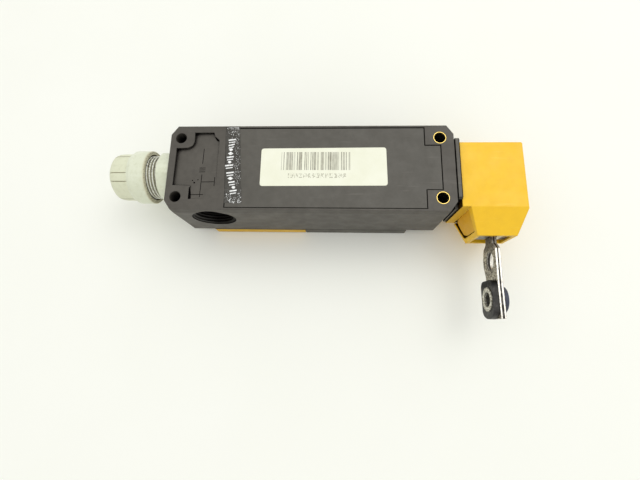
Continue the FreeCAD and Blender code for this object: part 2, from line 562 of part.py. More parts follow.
def rounded(x0, x1, ya, yb, za, zb, r1, r2y, r2z):
    """A plate in the YZ plane: corner radius r1 at the inner end, elliptical corners at the outer end."""
    def arc(cy_, cz_, ry, rz, a0, a1):
        n = 10
        return [(cy_ + ry * math.cos(math.radians(a0 + (a1 - a0) * i / n)),
                 cz_ + rz * math.sin(math.radians(a0 + (a1 - a0) * i / n))) for i in range(n + 1)]
    pts = arc(yb - r1, zb - r1, r1, r1, 0, 90) + arc(ya + r2y, zb - r2z, r2y, r2z, 90, 180) + \
        arc(ya + r2y, za + r2z, r2y, r2z, 180, 270) + arc(yb - r1, za + r1, r1, r1, 270, 360)
    w = [V(x0, y, z) for y, z in pts]
    o = doc.addObject("Part::Feature", name("pad"))
    o.Shape = Part.Face(Part.makePolygon(w + [w[0]])).extrude(V(x1 - x0, 0, 0))
    return o


xl, xr = names["act_xa"], names["act_xb"]
node("bush_left", cut(fuse(rounded(xl - 2.7, xl, -68.2, -50.6, -22.7, -9.4, 3.2, 4.2, 6.4),
                           cyl("x", "act_xa - 0.5", "bush_y", az, "4.55", "1.7")),
                      cyl("x", "act_xa - 5", "bush_y", az, "3.9", "12")))
node("bush_right", cut(fuse(cyl("x", "act_xb", "bush_y", az, "6.05", "2.1"),
                            cyl("x", "act_xb - 1.2", "bush_y", az, "4.55", "1.7")),
                       cyl("x", "act_xa - 5", "bush_y", az, "3.9", "12")))
node("bush_eyelet", cut(fuse(cyl("x", "act_xa - 3.05", "bush_y", az, "eyelet_out", "0.35"),
                             cyl("x", "act_xa - 3.05", "bush_y", az, "3.9", "act_xb - act_xa + 5.5"),
                             cyl("x", "act_xb + 2.1", "bush_y", az, "4.9", "0.35")),
                        cyl("x", "act_xa - 6", "bush_y", az, "eyelet_in", "16")))

# ---------------------------------------------------------------- locking bolt and solenoid
bolt_tip = "cam_x - cam_rad - 0.6"
node("lock_bolt", fuse(cyl("x", "coil_xb - 0.8", "0", az, "bolt_rad", "(%s) - (coil_xb - 0.8)" % bolt_tip),
                       cyl("x", "52.4", "0", az, "3.5", "1.4")))
node("armature", cyl("x", "coil_xa + 4.0", "0", az, "core_rad - 0.25", "coil_xb - coil_xa - 4.8"))
ya, yb = "coil_xa - yoke_t", "coil_xb + yoke_t"
node("solenoid_yoke", cut(box(ya, yb, "-yoke_hh", "yoke_hh", "axis_z - yoke_hh", "axis_z + yoke_hh"),
                          box("coil_xa", "coil_xb", "-yoke_hh - 1", "yoke_hh + 1", "axis_z - yoke_hh + yoke_t",
                              "axis_z + yoke_hh - yoke_t"),
                          cyl("x", "coil_xb - 1", "0", az, "core_rad + 0.4", "5"),
                          cyl("x", "coil_xa - 3", "0", az, "2.6", "5")))
# stepped bobbin with two cheeks, wound between them
bob = doc.addObject("PartDesign::Body", "BobbinBody")
c0, c1 = names["coil_xa"], names["coil_xb"]
r_in, r_tube, r_cheek = names["core_rad"], names["core_rad"] + 1.0, names["coil_rad"] - 0.2
prof = [(c0, r_in), (c1, r_in), (c1, r_cheek), (c1 - 1.4, r_cheek), (c1 - 1.4, r_tube), (c0 + 1.4, r_tube),
        (c0 + 1.4, r_cheek), (c0, r_cheek)]
sk = sketch_poly(bob, "BobbinProfile", "XY_Plane", prof)
rev = bob.newObject("PartDesign::Revolution", "BobbinRevolution")
rev.Profile = sk
rev.ReferenceAxis = ([f for f in bob.Origin.OriginFeatures if f.Role == "X_Axis"][0], "")
rev.Angle = 360
bob.setExpression("Placement.Base.z", ex("axis_z"))
doc.recompute()
node("coil_bobbin", bob)
node("solenoid_coil", cut(cyl("x", "coil_xa + 1.4", "0", az, "coil_rad - 0.6", "coil_xb - coil_xa - 2.8"),
                          cyl("x", "coil_xa", "0", az, "core_rad + 1", "40")))


def helix(cx_, cy_, cz_, pitch, length, radius, wire):
    """A compression spring along +X with closed round wire."""
    h = Part.makeHelix(pitch, length, radius)
    e = h.Edges[0]
    p, t = e.valueAt(e.FirstParameter), e.tangentAt(e.FirstParameter)
    prof_ = Part.Wire([Part.Circle(p, t, wire).toShape()])
    s = Part.Wire(h.Edges).makePipeShell([prof_], True, True)
    s.Placement = FreeCAD.Placement(V(cx_, cy_, cz_), FreeCAD.Rotation(V(0, 1, 0), 90))
    o = doc.addObject("Part::Feature", name("spring"))
    o.Shape = s
    return o


node("lock_spring", helix(54.2, 0, names["axis_z"], 2.2, 8.8, 3.0, 0.32))

# ---------------------------------------------------------------- switching slider and contacts
rod_tip = "cam_x - cam_low - 0.45"
node("door_rod", fuse(cyl("x", "57.2", "0", "axis_z + rod_up", "rod_rad", "(%s) - 57.2 - 1.2" % rod_tip),
                      cone("x", "(%s) - 1.2" % rod_tip, "0", "axis_z + rod_up", "rod_rad", "0.5", "1.2")))
node("switching_slider", fuse(box("55.2", "57.2", "-2.4", "16.8", "-11.6", "-8.0"),
                              box("-17.0", "57.2", "14.4", "16.8", "-11.6", "-8.0")))
node("contact_bridge", box("-14.8", "-12.6", "12.9", "14.4", "-13.4", "-6.2"))
blk = box("-31.0", "term_xb - 0.01", "-12.6", "12.0", "-27.0", "0 - cover_thick")
node("contact_block", cut(blk,
                          *([box("%g" % (-29.6 + 6.0 * i), "%g" % (-25.4 + 6.0 * i), s + "12.7" if s == "-" else "5.6",
                                 s + "5.6" if s == "-" else "12.1", "-28", "-21.5") for i in range(4) for s in ("-", "")])))
node("terminal_screws", group(*[fuse(cyl("z", "%g" % (-27.5 + 6.0 * i), s + "8.8", "-24.4", "1.9", "1.5"),
                                     cyl("z", "%g" % (-27.5 + 6.0 * i), s + "8.8", "-22.9", "1.2", "1.4"))
                                for i in range(4) for s in ("-", "")]))
node("fixed_contacts", group(box("-18.6", "-16.0", "12.0", "12.6", "-13.0", "-6.6"),
                             box("-11.4", "-9.2", "12.0", "12.6", "-13.0", "-6.6")))
node("slider_spring", helix(-28.4, 15.6, -9.8, 1.7, 10.2, 1.1, 0.2))
# the spring's back stop is a lug on the contact block
OUT["contact_block"].Label = "contact_block_blank"
node("contact_block", fuse(OUT["contact_block"], box("-31.0", "-28.8", "11.9", "17.6", "-12.0", "-7.6")))

# ---------------------------------------------------------------- auxiliary release
node("release_screw", cut(fuse(cyl("z", "57.6", "0", "0 - body_depth + 0.1", "4.9", "1.3"),
                               cyl("z", "57.6", "0", "0 - body_depth + 1.4", "2.4", "5.4")),
                          box("53.4", "61.8", "-0.55", "0.55", "0 - body_depth - 1", "0 - body_depth + 0.9")))

# ---------------------------------------------------------------- cable gland
gzc = "gland_z"


def ribs(x0, x1, step, r_lo, r_hi):
    out = []
    x = x0
    while x + step * 0.5 <= x1:
        out.append(cone("x", "%g" % x, "0", gzc, "%g" % r_lo, "%g" % r_hi, "%g" % (step * 0.5)))
        out.append(cone("x", "%g" % (x + step * 0.5), "0", gzc, "%g" % r_hi, "%g" % r_lo, "%g" % (step * 0.5)))
        x += step
    return out


collar = hexagon("x", "body_xa - 6.9", "0", gzc, "13.4", "6.9")
collar_c = doc.addObject("Part::MultiCommon", "GlandCollar")
collar_c.Shapes = [collar, cyl("x", "body_xa - 6.9", "0", gzc, "12.4", "6.9")]
gb = fuse(collar_c, cyl("x", "body_xa", "0", gzc, "gland_thread", "9.0"), cyl("x", "-86.6", "0", gzc, "9.95", "13"),
          *ribs(-81.8, -74.3, 1.5, 9.95, 10.85))
node("gland_body", cut(gb, cyl("x", "-90", "0", gzc, "7.6", "34")))
node("gland_seal", cut(fuse(cyl("x", "-91.4", "0", gzc, "7.5", "10.4")), cyl("x", "-95", "0", gzc, "4.75", "20")))

nut_pts = [(-79.2, 13.3), (-86.9, 13.3), (-88.4, 12.2), (-95.0, 12.1), (-96.5, 11.5), (-97.7, 10.4), (-98.3, 9.0),
           (-98.3, 5.6), (-93.2, 5.6), (-92.2, 7.9), (-87.6, 7.9), (-87.6, 11.5), (-79.2, 11.5)]
nutb = doc.addObject("PartDesign::Body", "GlandNutBody")
sk = sketch_poly(nutb, "NutProfile", "XY_Plane", nut_pts)
rev = nutb.newObject("PartDesign::Revolution", "NutRevolution")
rev.Profile = sk
rev.ReferenceAxis = ([f for f in nutb.Origin.OriginFeatures if f.Role == "X_Axis"][0], "")
rev.Angle = 360
nutb.setExpression("Placement.Base.z", ex("gland_z"))
doc.recompute()
node("gland_nut", nutb)

# ---------------------------------------------------------------- label and seal strip on the cover
node("label_plate", box("-22.4", "37.3", "-9.6", "10.0", "0 - cover_sink", "-0.05"))
node("seal_strip", prism(STRIP, "z", "0 - cover_sink", "0 - cover_sink + 0.12"))

# ---------------------------------------------------------------- checks and export
doc.recompute()
bad = [o.Name for o in doc.Objects if "Invalid" in o.State or "Error" in o.State]
if bad:
    raise RuntimeError("failed objects: " + ", ".join(bad))
for label, o in OUT.items():
    s = o.Shape
    if s.isNull() or not s.isValid():
        raise RuntimeError("bad shape: " + label)
    if not s.Solids:
        raise RuntimeError("no solid: " + label)
for label, o in OUT.items():
    o.Shape.exportStep("parts/%s.step" % label)
    b = o.Shape.BoundBox
    print("%-22s solids %d vol %9.1f  x %.1f %.1f  y %.1f %.1f  z %.1f %.1f" % (
        label, len(o.Shape.Solids), o.Shape.Volume, b.XMin, b.XMax, b.YMin, b.YMax, b.ZMin, b.ZMax))
print("nodes", len(OUT))
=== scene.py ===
# Looks of the tongue interlock switch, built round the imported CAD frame.
import math
import random

import bpy
from mathutils import Matrix, Vector


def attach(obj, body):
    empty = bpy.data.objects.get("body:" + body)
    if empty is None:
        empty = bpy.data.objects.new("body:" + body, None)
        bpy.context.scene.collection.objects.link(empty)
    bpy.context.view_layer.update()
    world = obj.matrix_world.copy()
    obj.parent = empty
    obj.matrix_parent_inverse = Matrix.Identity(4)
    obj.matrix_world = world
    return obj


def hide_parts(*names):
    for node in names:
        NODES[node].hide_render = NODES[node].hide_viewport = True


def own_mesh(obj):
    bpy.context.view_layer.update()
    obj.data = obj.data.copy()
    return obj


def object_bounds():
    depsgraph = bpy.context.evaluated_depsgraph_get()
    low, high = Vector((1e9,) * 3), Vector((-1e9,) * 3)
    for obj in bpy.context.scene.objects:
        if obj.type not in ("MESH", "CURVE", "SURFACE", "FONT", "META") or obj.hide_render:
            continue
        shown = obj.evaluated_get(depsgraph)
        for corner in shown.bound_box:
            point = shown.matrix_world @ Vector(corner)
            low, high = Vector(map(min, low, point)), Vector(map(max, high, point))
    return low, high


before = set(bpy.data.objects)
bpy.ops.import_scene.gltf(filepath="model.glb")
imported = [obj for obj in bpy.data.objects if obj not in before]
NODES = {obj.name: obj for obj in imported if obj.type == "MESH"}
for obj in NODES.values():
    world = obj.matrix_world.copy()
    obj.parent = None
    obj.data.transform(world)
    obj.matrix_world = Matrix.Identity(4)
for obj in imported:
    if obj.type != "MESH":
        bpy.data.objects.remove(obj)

CAD_LO, CAD_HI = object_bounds()
random.seed(7)
MM = 0.001


# ------------------------------------------------------------------ shader helpers
def lin(r, g, b):
    """sRGB 0-255 to linear."""
    def f(c):
        c = c / 255.0
        return c / 12.92 if c <= 0.04045 else ((c + 0.055) / 1.055) ** 2.4
    return (f(r), f(g), f(b), 1.0)


class Mat:
    def __init__(self, name, rough=0.5, metallic=0.0, spec=0.5):
        self.m = bpy.data.materials.new(name)
        self.m.use_nodes = True
        self.t = self.m.node_tree
        self.t.nodes.clear()
        self.out = self.t.nodes.new("ShaderNodeOutputMaterial")
        self.b = self.t.nodes.new("ShaderNodeBsdfPrincipled")
        self.t.links.new(self.b.outputs[0], self.out.inputs[0])
        self.b.inputs["Roughness"].default_value = rough
        self.b.inputs["Metallic"].default_value = metallic
        self.b.inputs["Specular IOR Level"].default_value = spec
        self.co = self.t.nodes.new("ShaderNodeTexCoord").outputs["Object"]

    def put(self, socket, v):
        if isinstance(v, bpy.types.NodeSocket):
            self.t.links.new(v, socket)
        else:
            socket.default_value = v

    def math(self, op, a, b=0.0, c=0.0, clamp=False):
        n = self.t.nodes.new("ShaderNodeMath")
        n.operation = op
        n.use_clamp = clamp
        for s, v in zip(n.inputs, (a, b, c)):
            self.put(s, v)
        return n.outputs[0]

    def sep(self, vec=None):
        n = self.t.nodes.new("ShaderNodeSeparateXYZ")
        self.put(n.inputs[0], vec if vec is not None else self.co)
        return n.outputs

    def comb(self, x, y, z):
        n = self.t.nodes.new("ShaderNodeCombineXYZ")
        for s, v in zip(n.inputs, (x, y, z)):
            self.put(s, v)
        return n.outputs[0]

    def scaled(self, sx, sy, sz, vec=None):
        n = self.t.nodes.new("ShaderNodeMapping")
        self.put(n.inputs["Vector"], vec if vec is not None else self.co)
        n.inputs["Scale"].default_value = (sx, sy, sz)
        return n.outputs[0]

    def noise(self, scale, detail=3.0, rough=0.55, vec=None, dist=0.0):
        n = self.t.nodes.new("ShaderNodeTexNoise")
        self.put(n.inputs["Vector"], vec if vec is not None else self.co)
        n.inputs["Scale"].default_value = scale
        n.inputs["Detail"].default_value = detail
        n.inputs["Roughness"].default_value = rough
        n.inputs["Distortion"].default_value = dist
        return n.outputs["Fac"]

    def voronoi(self, scale, vec=None, feature="F1", rnd=1.0):
        n = self.t.nodes.new("ShaderNodeTexVoronoi")
        n.feature = feature
        self.put(n.inputs["Vector"], vec if vec is not None else self.co)
        n.inputs["Scale"].default_value = scale
        n.inputs["Randomness"].default_value = rnd
        return n.outputs["Distance"]

    def white(self, vec):
        n = self.t.nodes.new("ShaderNodeTexWhiteNoise")
        self.put(n.inputs["Vector"], vec)
        return n.outputs["Value"]

    def ramp(self, fac, lo, hi, a=0.0, b=1.0, clamp=True):
        """Maps fac from lo..hi to a..b."""
        n = self.t.nodes.new("ShaderNodeMapRange")
        n.clamp = clamp
        self.put(n.inputs["Value"], fac)
        n.inputs["From Min"].default_value = lo
        n.inputs["From Max"].default_value = hi
        n.inputs["To Min"].default_value = a
        n.inputs["To Max"].default_value = b
        return n.outputs[0]

    def mix(self, fac, a, b, mode="MIX"):
        n = self.t.nodes.new("ShaderNodeMix")
        n.data_type = "RGBA"
        n.blend_type = mode
        self.put(n.inputs["Factor"], fac)
        self.put(n.inputs[6], a)
        self.put(n.inputs[7], b)
        return n.outputs[2]

    def edge(self, radius=0.0004, lo=0.02, hi=0.25):
        """1 on convex and concave edges, 0 on flats."""
        bv = self.t.nodes.new("ShaderNodeBevel")
        bv.samples = 4
        bv.inputs["Radius"].default_value = radius
        g = self.t.nodes.new("ShaderNodeNewGeometry")
        d = self.t.nodes.new("ShaderNodeVectorMath")
        d.operation = "DOT_PRODUCT"
        self.t.links.new(bv.outputs[0], d.inputs[0])
        self.t.links.new(g.outputs["Normal"], d.inputs[1])
        return self.ramp(self.math("SUBTRACT", 1.0, d.outputs["Value"]), lo, hi)

    def soft_normal(self, radius=0.0003):
        bv = self.t.nodes.new("ShaderNodeBevel")
        bv.samples = 6
        bv.inputs["Radius"].default_value = radius
        return bv.outputs[0]

    def bump(self, height, strength=0.3, dist=0.0001, normal=None):
        n = self.t.nodes.new("ShaderNodeBump")
        n.inputs["Strength"].default_value = strength
        n.inputs["Distance"].default_value = dist
        self.put(n.inputs["Height"], height)
        if normal is not None:
            self.t.links.new(normal, n.inputs["Normal"])
        return n.outputs[0]

    def ao(self, dist=0.003):
        n = self.t.nodes.new("ShaderNodeAmbientOcclusion")
        n.samples = 6
        n.inputs["Distance"].default_value = dist
        return n.outputs["AO"]

    def done(self, color=None, rough=None, normal=None, metallic=None):
        if color is not None:
            self.put(self.b.inputs["Base Color"], color)
        if rough is not None:
            self.put(self.b.inputs["Roughness"], rough)
        if metallic is not None:
            self.put(self.b.inputs["Metallic"], metallic)
        if normal is not None:
            self.put(self.b.inputs["Normal"], normal)
        return self.m


def moulded(name, base, light, dark, rough=0.55, grain=0.35, wear=0.35, corner_shade=0.35, radius=0.00035, scratches=0.25, wearcol=None,
            spec=0.45, deep=None, far=0.0, blotch=1.0, crease=(0.16, 0.46), reach=0.0022, mask=None, slope=None):
    """Moulded plastic: mottled colour, fine sparked grain, rubbed edges, light scratches, and painted shade darkening
    corners, seams and hollows found by ambient occlusion.
    """
    k = Mat(name, rough=rough, spec=spec)
    big = k.noise(45, 4, 0.6)
    mid = k.noise(320, 3, 0.6)
    fine = k.noise(3800, 2, 0.5)
    col = k.mix(k.ramp(big, 0.35, 0.68, 0.0, blotch), base, light)
    col = k.mix(k.ramp(mid, 0.3, 0.75, 0.0, 0.3 * blotch), col, dark)
    # scuffs running along the piece
    sc = k.noise(900, 2, 0.4, vec=k.scaled(0.06, 1.0, 1.0), dist=0.6)
    sc = k.math("MULTIPLY", k.ramp(sc, 0.655, 0.70), k.ramp(k.noise(60, 2), 0.48, 0.62, 0.0, scratches))
    col = k.mix(sc, col, wearcol or light)
    e = k.math("MULTIPLY", k.edge(radius), k.ramp(k.noise(500, 3), 0.35, 0.7, 0.15 * wear, wear))
    col = k.mix(e, col, wearcol or light)
    # painted shade: corners and hollows found by ambient occlusion are darkened towards the dark colour
    near = k.ao(reach)
    occ = k.ramp(near, 0.3, 0.88, corner_shade, 0.0)
    occ = k.math("MULTIPLY", occ, k.ramp(k.noise(700, 3), 0.3, 0.6, 0.5, 1.0))
    col = k.mix(occ, col, dark)
    # seams and deep corners are painted near-black as painted shade, with the specular level lowered there; far and
    # mask add more painted shade
    crease_shade = k.ramp(near, crease[0], crease[1], 1.0, 0.0)
    if far:
        crease_shade = k.math("MAXIMUM", crease_shade, k.ramp(k.ao(far), 0.06, 0.34, 1.0, 0.0))
    if mask:
        crease_shade = k.math("MAXIMUM", crease_shade, mask(k))
    # painted shade: faces that are not upward, face -Y and do not face -X are mixed 35% towards the slope colour
    if slope:
        nx, ny, nz = object_normal(k)
        f = k.math("MULTIPLY", k.ramp(nz, 0.85, 0.95, 0.35, 0.0), k.ramp(nx, -0.5, -0.3))
        f = k.math("MULTIPLY", f, k.ramp(ny, -0.5, -0.3, 1.0, 0.0))
        col = k.mix(f, col, slope)
    col = k.mix(crease_shade, col, deep or lin(14, 13, 12))
    h = k.math("ADD", fine, k.math("MULTIPLY", k.noise(1400, 2), 0.6))
    nrm = k.bump(h, grain, 0.00006, k.soft_normal(radius))
    r = k.ramp(k.noise(150, 4), 0.3, 0.7, rough - 0.08, rough + 0.1)
    k.put(k.b.inputs["Specular IOR Level"], k.ramp(crease_shade, 0.0, 1.0, spec, 0.02))
    return k.done(col, r, nrm)


# ------------------------------------------------------------------ materials
def object_normal(k):
    return k.sep(k.t.nodes.new("ShaderNodeTexCoord").outputs["Normal"])


def entry_shade(k):
    """Painted shade: the conduit entry is painted black from its rim inwards."""
    x, y, z = k.sep()
    dx, dz = k.math("ADD", x, 0.0466), k.math("ADD", z, 0.0124)
    r = k.math("SQRT", k.math("ADD", k.math("MULTIPLY", dx, dx), k.math("MULTIPLY", dz, dz)))
    return k.math("MULTIPLY", k.ramp(r, 0.01055, 0.01062, 1.0, 0.0), k.ramp(y, -0.013, -0.012, 1.0, 0.0))


def flange_shade(k):
    """Painted shade: the gap against the head and the end face above the ledge are painted dark."""
    x, y, z = k.sep()
    nx, ny, nz = object_normal(k)
    end = k.math("MULTIPLY", k.ramp(ny, -0.8, -0.6, 1.0, 0.0), k.ramp(y, -0.0160, -0.0156))
    low = k.math("MULTIPLY", k.ramp(ny, -0.8, -0.6, 1.0, 0.0), k.ramp(x, 0.0699, 0.0702, 0.0, 0.95))
    return k.math("MAXIMUM", k.math("MAXIMUM", k.ramp(x, 0.07078, 0.07092), end), low)


def recess_shade(k):
    """Painted shade on the walls and floor of the recess round the insert, near-black on the head's -X face beside the
    flange, and a light painted shade on the -Y strip.
    """
    x, y, z = k.sep()
    px, py = k.math("SUBTRACT", x, 0.075), k.math("ADD", y, 0.0185)
    d = k.math("ADD", k.math("MULTIPLY", px, -0.95477), k.math("MULTIPLY", py, -0.29738))
    u = k.math("ADD", k.math("MULTIPLY", px, 0.29738), k.math("MULTIPLY", py, -0.95477))
    lim = k.math("ADD", z, k.math("MULTIPLY", u, 0.287))
    m = k.math("MULTIPLY", k.ramp(d, -0.00030, -0.00012, 1.0, 0.0), k.ramp(d, -0.0022, -0.0021))
    m = k.math("MULTIPLY", m, k.math("MULTIPLY", k.ramp(u, -0.0003, -0.0001), k.ramp(u, 0.0109, 0.0110, 1.0, 0.0)))
    m = k.math("MULTIPLY", m, k.ramp(lim, -0.0060, -0.0055, 1.0, 0.0))
    m = k.math("MULTIPLY", m, k.math("MAXIMUM", k.ramp(z, -0.0215, -0.0205, 1.0, 0.0), k.ramp(u, 0.0080, 0.0085)))
    nx, ny, nz = object_normal(k)
    back = k.math("MULTIPLY", k.ramp(nx, -0.95, -0.9, 0.95, 0.0), k.ramp(x, 0.0714, 0.0715, 1.0, 0.0))
    strip = k.math("MULTIPLY", k.ramp(ny, -0.97, -0.9, 0.16, 0.0), k.ramp(x, 0.0750, 0.0751, 1.0, 0.0))
    return k.math("MAXIMUM", k.math("MAXIMUM", m, back), strip)


m_black = moulded("plastic_black", lin(77, 73, 66), lin(88, 84, 77), lin(46, 43, 38), rough=0.5, corner_shade=0.5, wear=0.5,
                  wearcol=lin(116, 112, 104), scratches=0.35, far=0.012, crease=(0.55, 0.82), reach=0.0026, mask=entry_shade)
m_cover = moulded("plastic_cover", lin(83, 80, 73), lin(92, 89, 82), lin(58, 56, 50), rough=0.5, corner_shade=0.3, wear=0.35,
                  wearcol=lin(118, 115, 108), scratches=0.3)
m_flange = moulded("plastic_flange", lin(90, 87, 79), lin(100, 97, 88), lin(40, 36, 30), rough=0.5, corner_shade=0.5, wear=0.5,
                   wearcol=lin(128, 124, 114), far=0.007, mask=flange_shade)
def thread_shade(k):
    # painted shade: darker towards +X and deeper into the entry
    x, y, z = k.sep()
    side = k.ramp(x, -0.0545, -0.0480, 0.0, 0.9)
    return k.math("MAXIMUM", side, k.ramp(y, -0.0195, -0.0165))


# the thread's colours are darker than the housing's: painted shade inside the entry
m_entry = moulded("plastic_entry_thread", lin(44, 43, 39), lin(54, 52, 47), lin(22, 21, 19), rough=0.5, corner_shade=0.9, wear=0.6,
                  wearcol=lin(84, 81, 74), crease=(0.3, 0.7), deep=lin(24, 22, 19), mask=thread_shade)
m_lid_black = moulded("plastic_lid_black", lin(76, 75, 64), lin(88, 85, 75), lin(50, 48, 42), rough=0.55)
m_yellow = moulded("plastic_yellow", lin(248, 197, 26), lin(250, 204, 34), lin(200, 142, 16), slope=lin(200, 160, 22), rough=0.42, grain=0.18, wear=0.22,
                   corner_shade=0.4, mask=recess_shade, wearcol=lin(255, 222, 100), scratches=0.2, radius=0.0006, deep=lin(58, 34, 8), blotch=0.5)
m_insert = moulded("plastic_yellow_insert", lin(234, 176, 14), lin(238, 182, 20), lin(180, 126, 12), rough=0.45, grain=0.2, wear=0.2,
                   corner_shade=0.5, wearcol=lin(246, 204, 80), scratches=0.2, radius=0.0004, deep=lin(40, 24, 8), blotch=0.8)
m_yellow_lid = moulded("plastic_yellow_lid", lin(214, 168, 28), lin(222, 176, 36), lin(146, 106, 16), rough=0.5, deep=lin(40, 26, 8), corner_shade=0.8)
m_phenolic = moulded("plastic_phenolic", lin(120, 62, 34), lin(136, 74, 42), lin(70, 36, 20), rough=0.5)
m_gasket = moulded("rubber_gasket", lin(34, 33, 31), lin(44, 43, 41), lin(16, 16, 15), rough=0.75, grain=0.5)


def metal(name, base, dark, rough=0.32, grime=0.5, brush=(1.0, 0.05, 1.0), spots=0.0, grime_and_shade_col=None):
    k = Mat(name, rough=rough, metallic=1.0)
    br = k.noise(3000, 2, 0.5, vec=k.scaled(*brush))
    blot = k.noise(260, 5, 0.65)
    g = k.ramp(blot, 0.42, 0.66, 0.0, grime)
    # painted shade: ambient-occlusion darkening in hollows, merged with the grime blotches
    occ = k.ramp(k.ao(0.0015), 0.2, 0.8, 0.8, 0.0)
    g = k.math("MAXIMUM", g, occ)
    col = k.mix(k.ramp(br, 0.3, 0.7), base, dark)
    col = k.mix(g, col, grime_and_shade_col or lin(74, 64, 52))
    if spots:
        sp = k.ramp(k.noise(1100, 3, 0.6), 0.6, 0.68, 0.0, spots)
        col = k.mix(sp, col, lin(52, 36, 24))
    met = k.ramp(g, 0.2, 0.9, 1.0, 0.35)
    r = k.math("ADD", k.ramp(br, 0.2, 0.8, rough - 0.08, rough + 0.12), k.math("MULTIPLY", g, 0.3), clamp=True)
    nrm = k.bump(br, 0.25, 0.00004, k.soft_normal(0.00015))
    return k.done(col, r, nrm, met)


def plate_material():
    """Stamped tongue laminations: edge faces painted bright as a painted highlight, grimy faces, nearly black neck
    where it runs in the head.
    """
    k = Mat("steel_tongue", rough=0.34, metallic=1.0)
    g = k.t.nodes.new("ShaderNodeNewGeometry")
    tc = k.t.nodes.new("ShaderNodeTexCoord")
    nx, ny, nz = k.sep(tc.outputs["Normal"])
    x, y, z = k.sep()
    face = k.ramp(k.math("ABSOLUTE", nx), 0.5, 0.8)
    br = k.noise(3000, 2, 0.5, vec=k.scaled(1.0, 0.05, 1.0))
    blot = k.noise(330, 5, 0.7)
    fine = k.noise(1500, 4, 0.7)
    col = k.mix(k.ramp(br, 0.3, 0.7), lin(226, 222, 210), lin(196, 192, 180))
    # painted highlight: faces not facing +X or -X get a near-white colour
    edge_col = k.mix(k.ramp(fine, 0.4, 0.7), lin(255, 252, 244), lin(232, 226, 210))
    face_col = k.mix(k.ramp(k.noise(1000, 4, 0.75), 0.4, 0.6), lin(226, 220, 202), lin(104, 96, 76))
    col = k.mix(face, edge_col, face_col)
    grime = k.math("MULTIPLY", k.ramp(blot, 0.42, 0.62, 0.0, 0.85), k.ramp(face, 0.0, 1.0, 0.12, 1.0))
    # dark joint between the two laminations and along their outer arrises, wider towards the end
    gap = k.math("ABSOLUTE", k.math("SUBTRACT", x, 0.0882))
    wide = k.math("MULTIPLY", k.ramp(y, -0.062, -0.044, 1.0, 0.0), 0.00022)
    wy, wz = k.math("ADD", y, 0.0412), k.math("ADD", z, 0.0161)
    hole = k.ramp(k.math("SQRT", k.math("ADD", k.math("MULTIPLY", wy, wy), k.math("MULTIPLY", wz, wz))), 0.0048, 0.0050, 1.0, 0.0)
    wide = k.math("ADD", wide, k.math("MULTIPLY", hole, 0.00020))
    joint = k.ramp(k.math("SUBTRACT", gap, wide), 0.00026, 0.00038, 1.0, 0.0)
    joint = k.math("MULTIPLY", joint, k.ramp(k.noise(420, 3, 0.6), 0.3, 0.55, 0.5, 1.0))
    rim = k.math("MULTIPLY", k.ramp(gap, 0.00104, 0.00114), k.ramp(k.noise(700, 3, 0.6), 0.4, 0.55, 0.2, 0.9))
    joint = k.math("MULTIPLY", k.math("MAXIMUM", joint, rim), k.ramp(face, 0.0, 1.0, 1.0, 0.0))
    # painted shade: the inner walls of the window hole in the left plate are darkened
    inner = k.math("MULTIPLY", k.math("MULTIPLY", hole, k.ramp(x, 0.08800, 0.08815, 1.0, 0.0)), k.ramp(fine, 0.35, 0.6, 0.45, 0.95))
    inner = k.math("MULTIPLY", inner, k.ramp(face, 0.0, 1.0, 1.0, 0.0))
    neck = k.math("MULTIPLY", k.ramp(y, -0.0372, -0.0345), k.ramp(k.noise(500, 4, 0.7), 0.25, 0.6, 1.0, 0.55))
    # grime from here on also carries the painted shade of the window hole
    grime = k.math("MAXIMUM", k.math("MAXIMUM", grime, neck), inner)
    # painted shade: ambient-occlusion darkening, merged with the dark joint between the laminations
    occ = k.math("MAXIMUM", k.ramp(k.ao(0.0012), 0.25, 0.75, 0.9, 0.0), joint)
    near_end = k.ramp(k.math("ADD", k.math("ABSOLUTE", k.math("SUBTRACT", y, -0.0492)), 0.0), 0.0016, 0.0030, 1.0, 0.0)
    shine = k.math("MULTIPLY", k.math("MULTIPLY", near_end, face), k.ramp(k.noise(700, 3, 0.6), 0.42, 0.58))
    grime = k.math("MULTIPLY", grime, k.math("SUBTRACT", 1.0, k.math("MULTIPLY", shine, 0.85)))
    col = k.mix(grime, col, lin(56, 47, 33))
    col = k.mix(occ, col, lin(34, 28, 20))
    sp = k.math("MULTIPLY", k.ramp(k.noise(1000, 3, 0.6), 0.57, 0.63, 0.0, 0.8), k.ramp(face, 0.0, 1.0, 0.4, 1.0))
    col = k.mix(sp, col, lin(40, 30, 20))
    met = k.ramp(k.math("MAXIMUM", grime, occ), 0.2, 0.9, 0.85, 0.2)
    r = k.math("ADD", k.ramp(br, 0.2, 0.8, 0.3, 0.48), k.math("MULTIPLY", grime, 0.25), clamp=True)
    return k.done(col, r, k.bump(k.math("ADD", br, fine), 0.3, 0.00005, k.soft_normal(0.00018)), met)


m_plate = plate_material()
m_steel = metal("steel_ground", lin(205, 204, 200), lin(176, 175, 172), rough=0.25, grime=0.25)
m_zinc = metal("steel_zinc", lin(196, 196, 190), lin(165, 164, 158), rough=0.35, grime=0.55, spots=0.3)


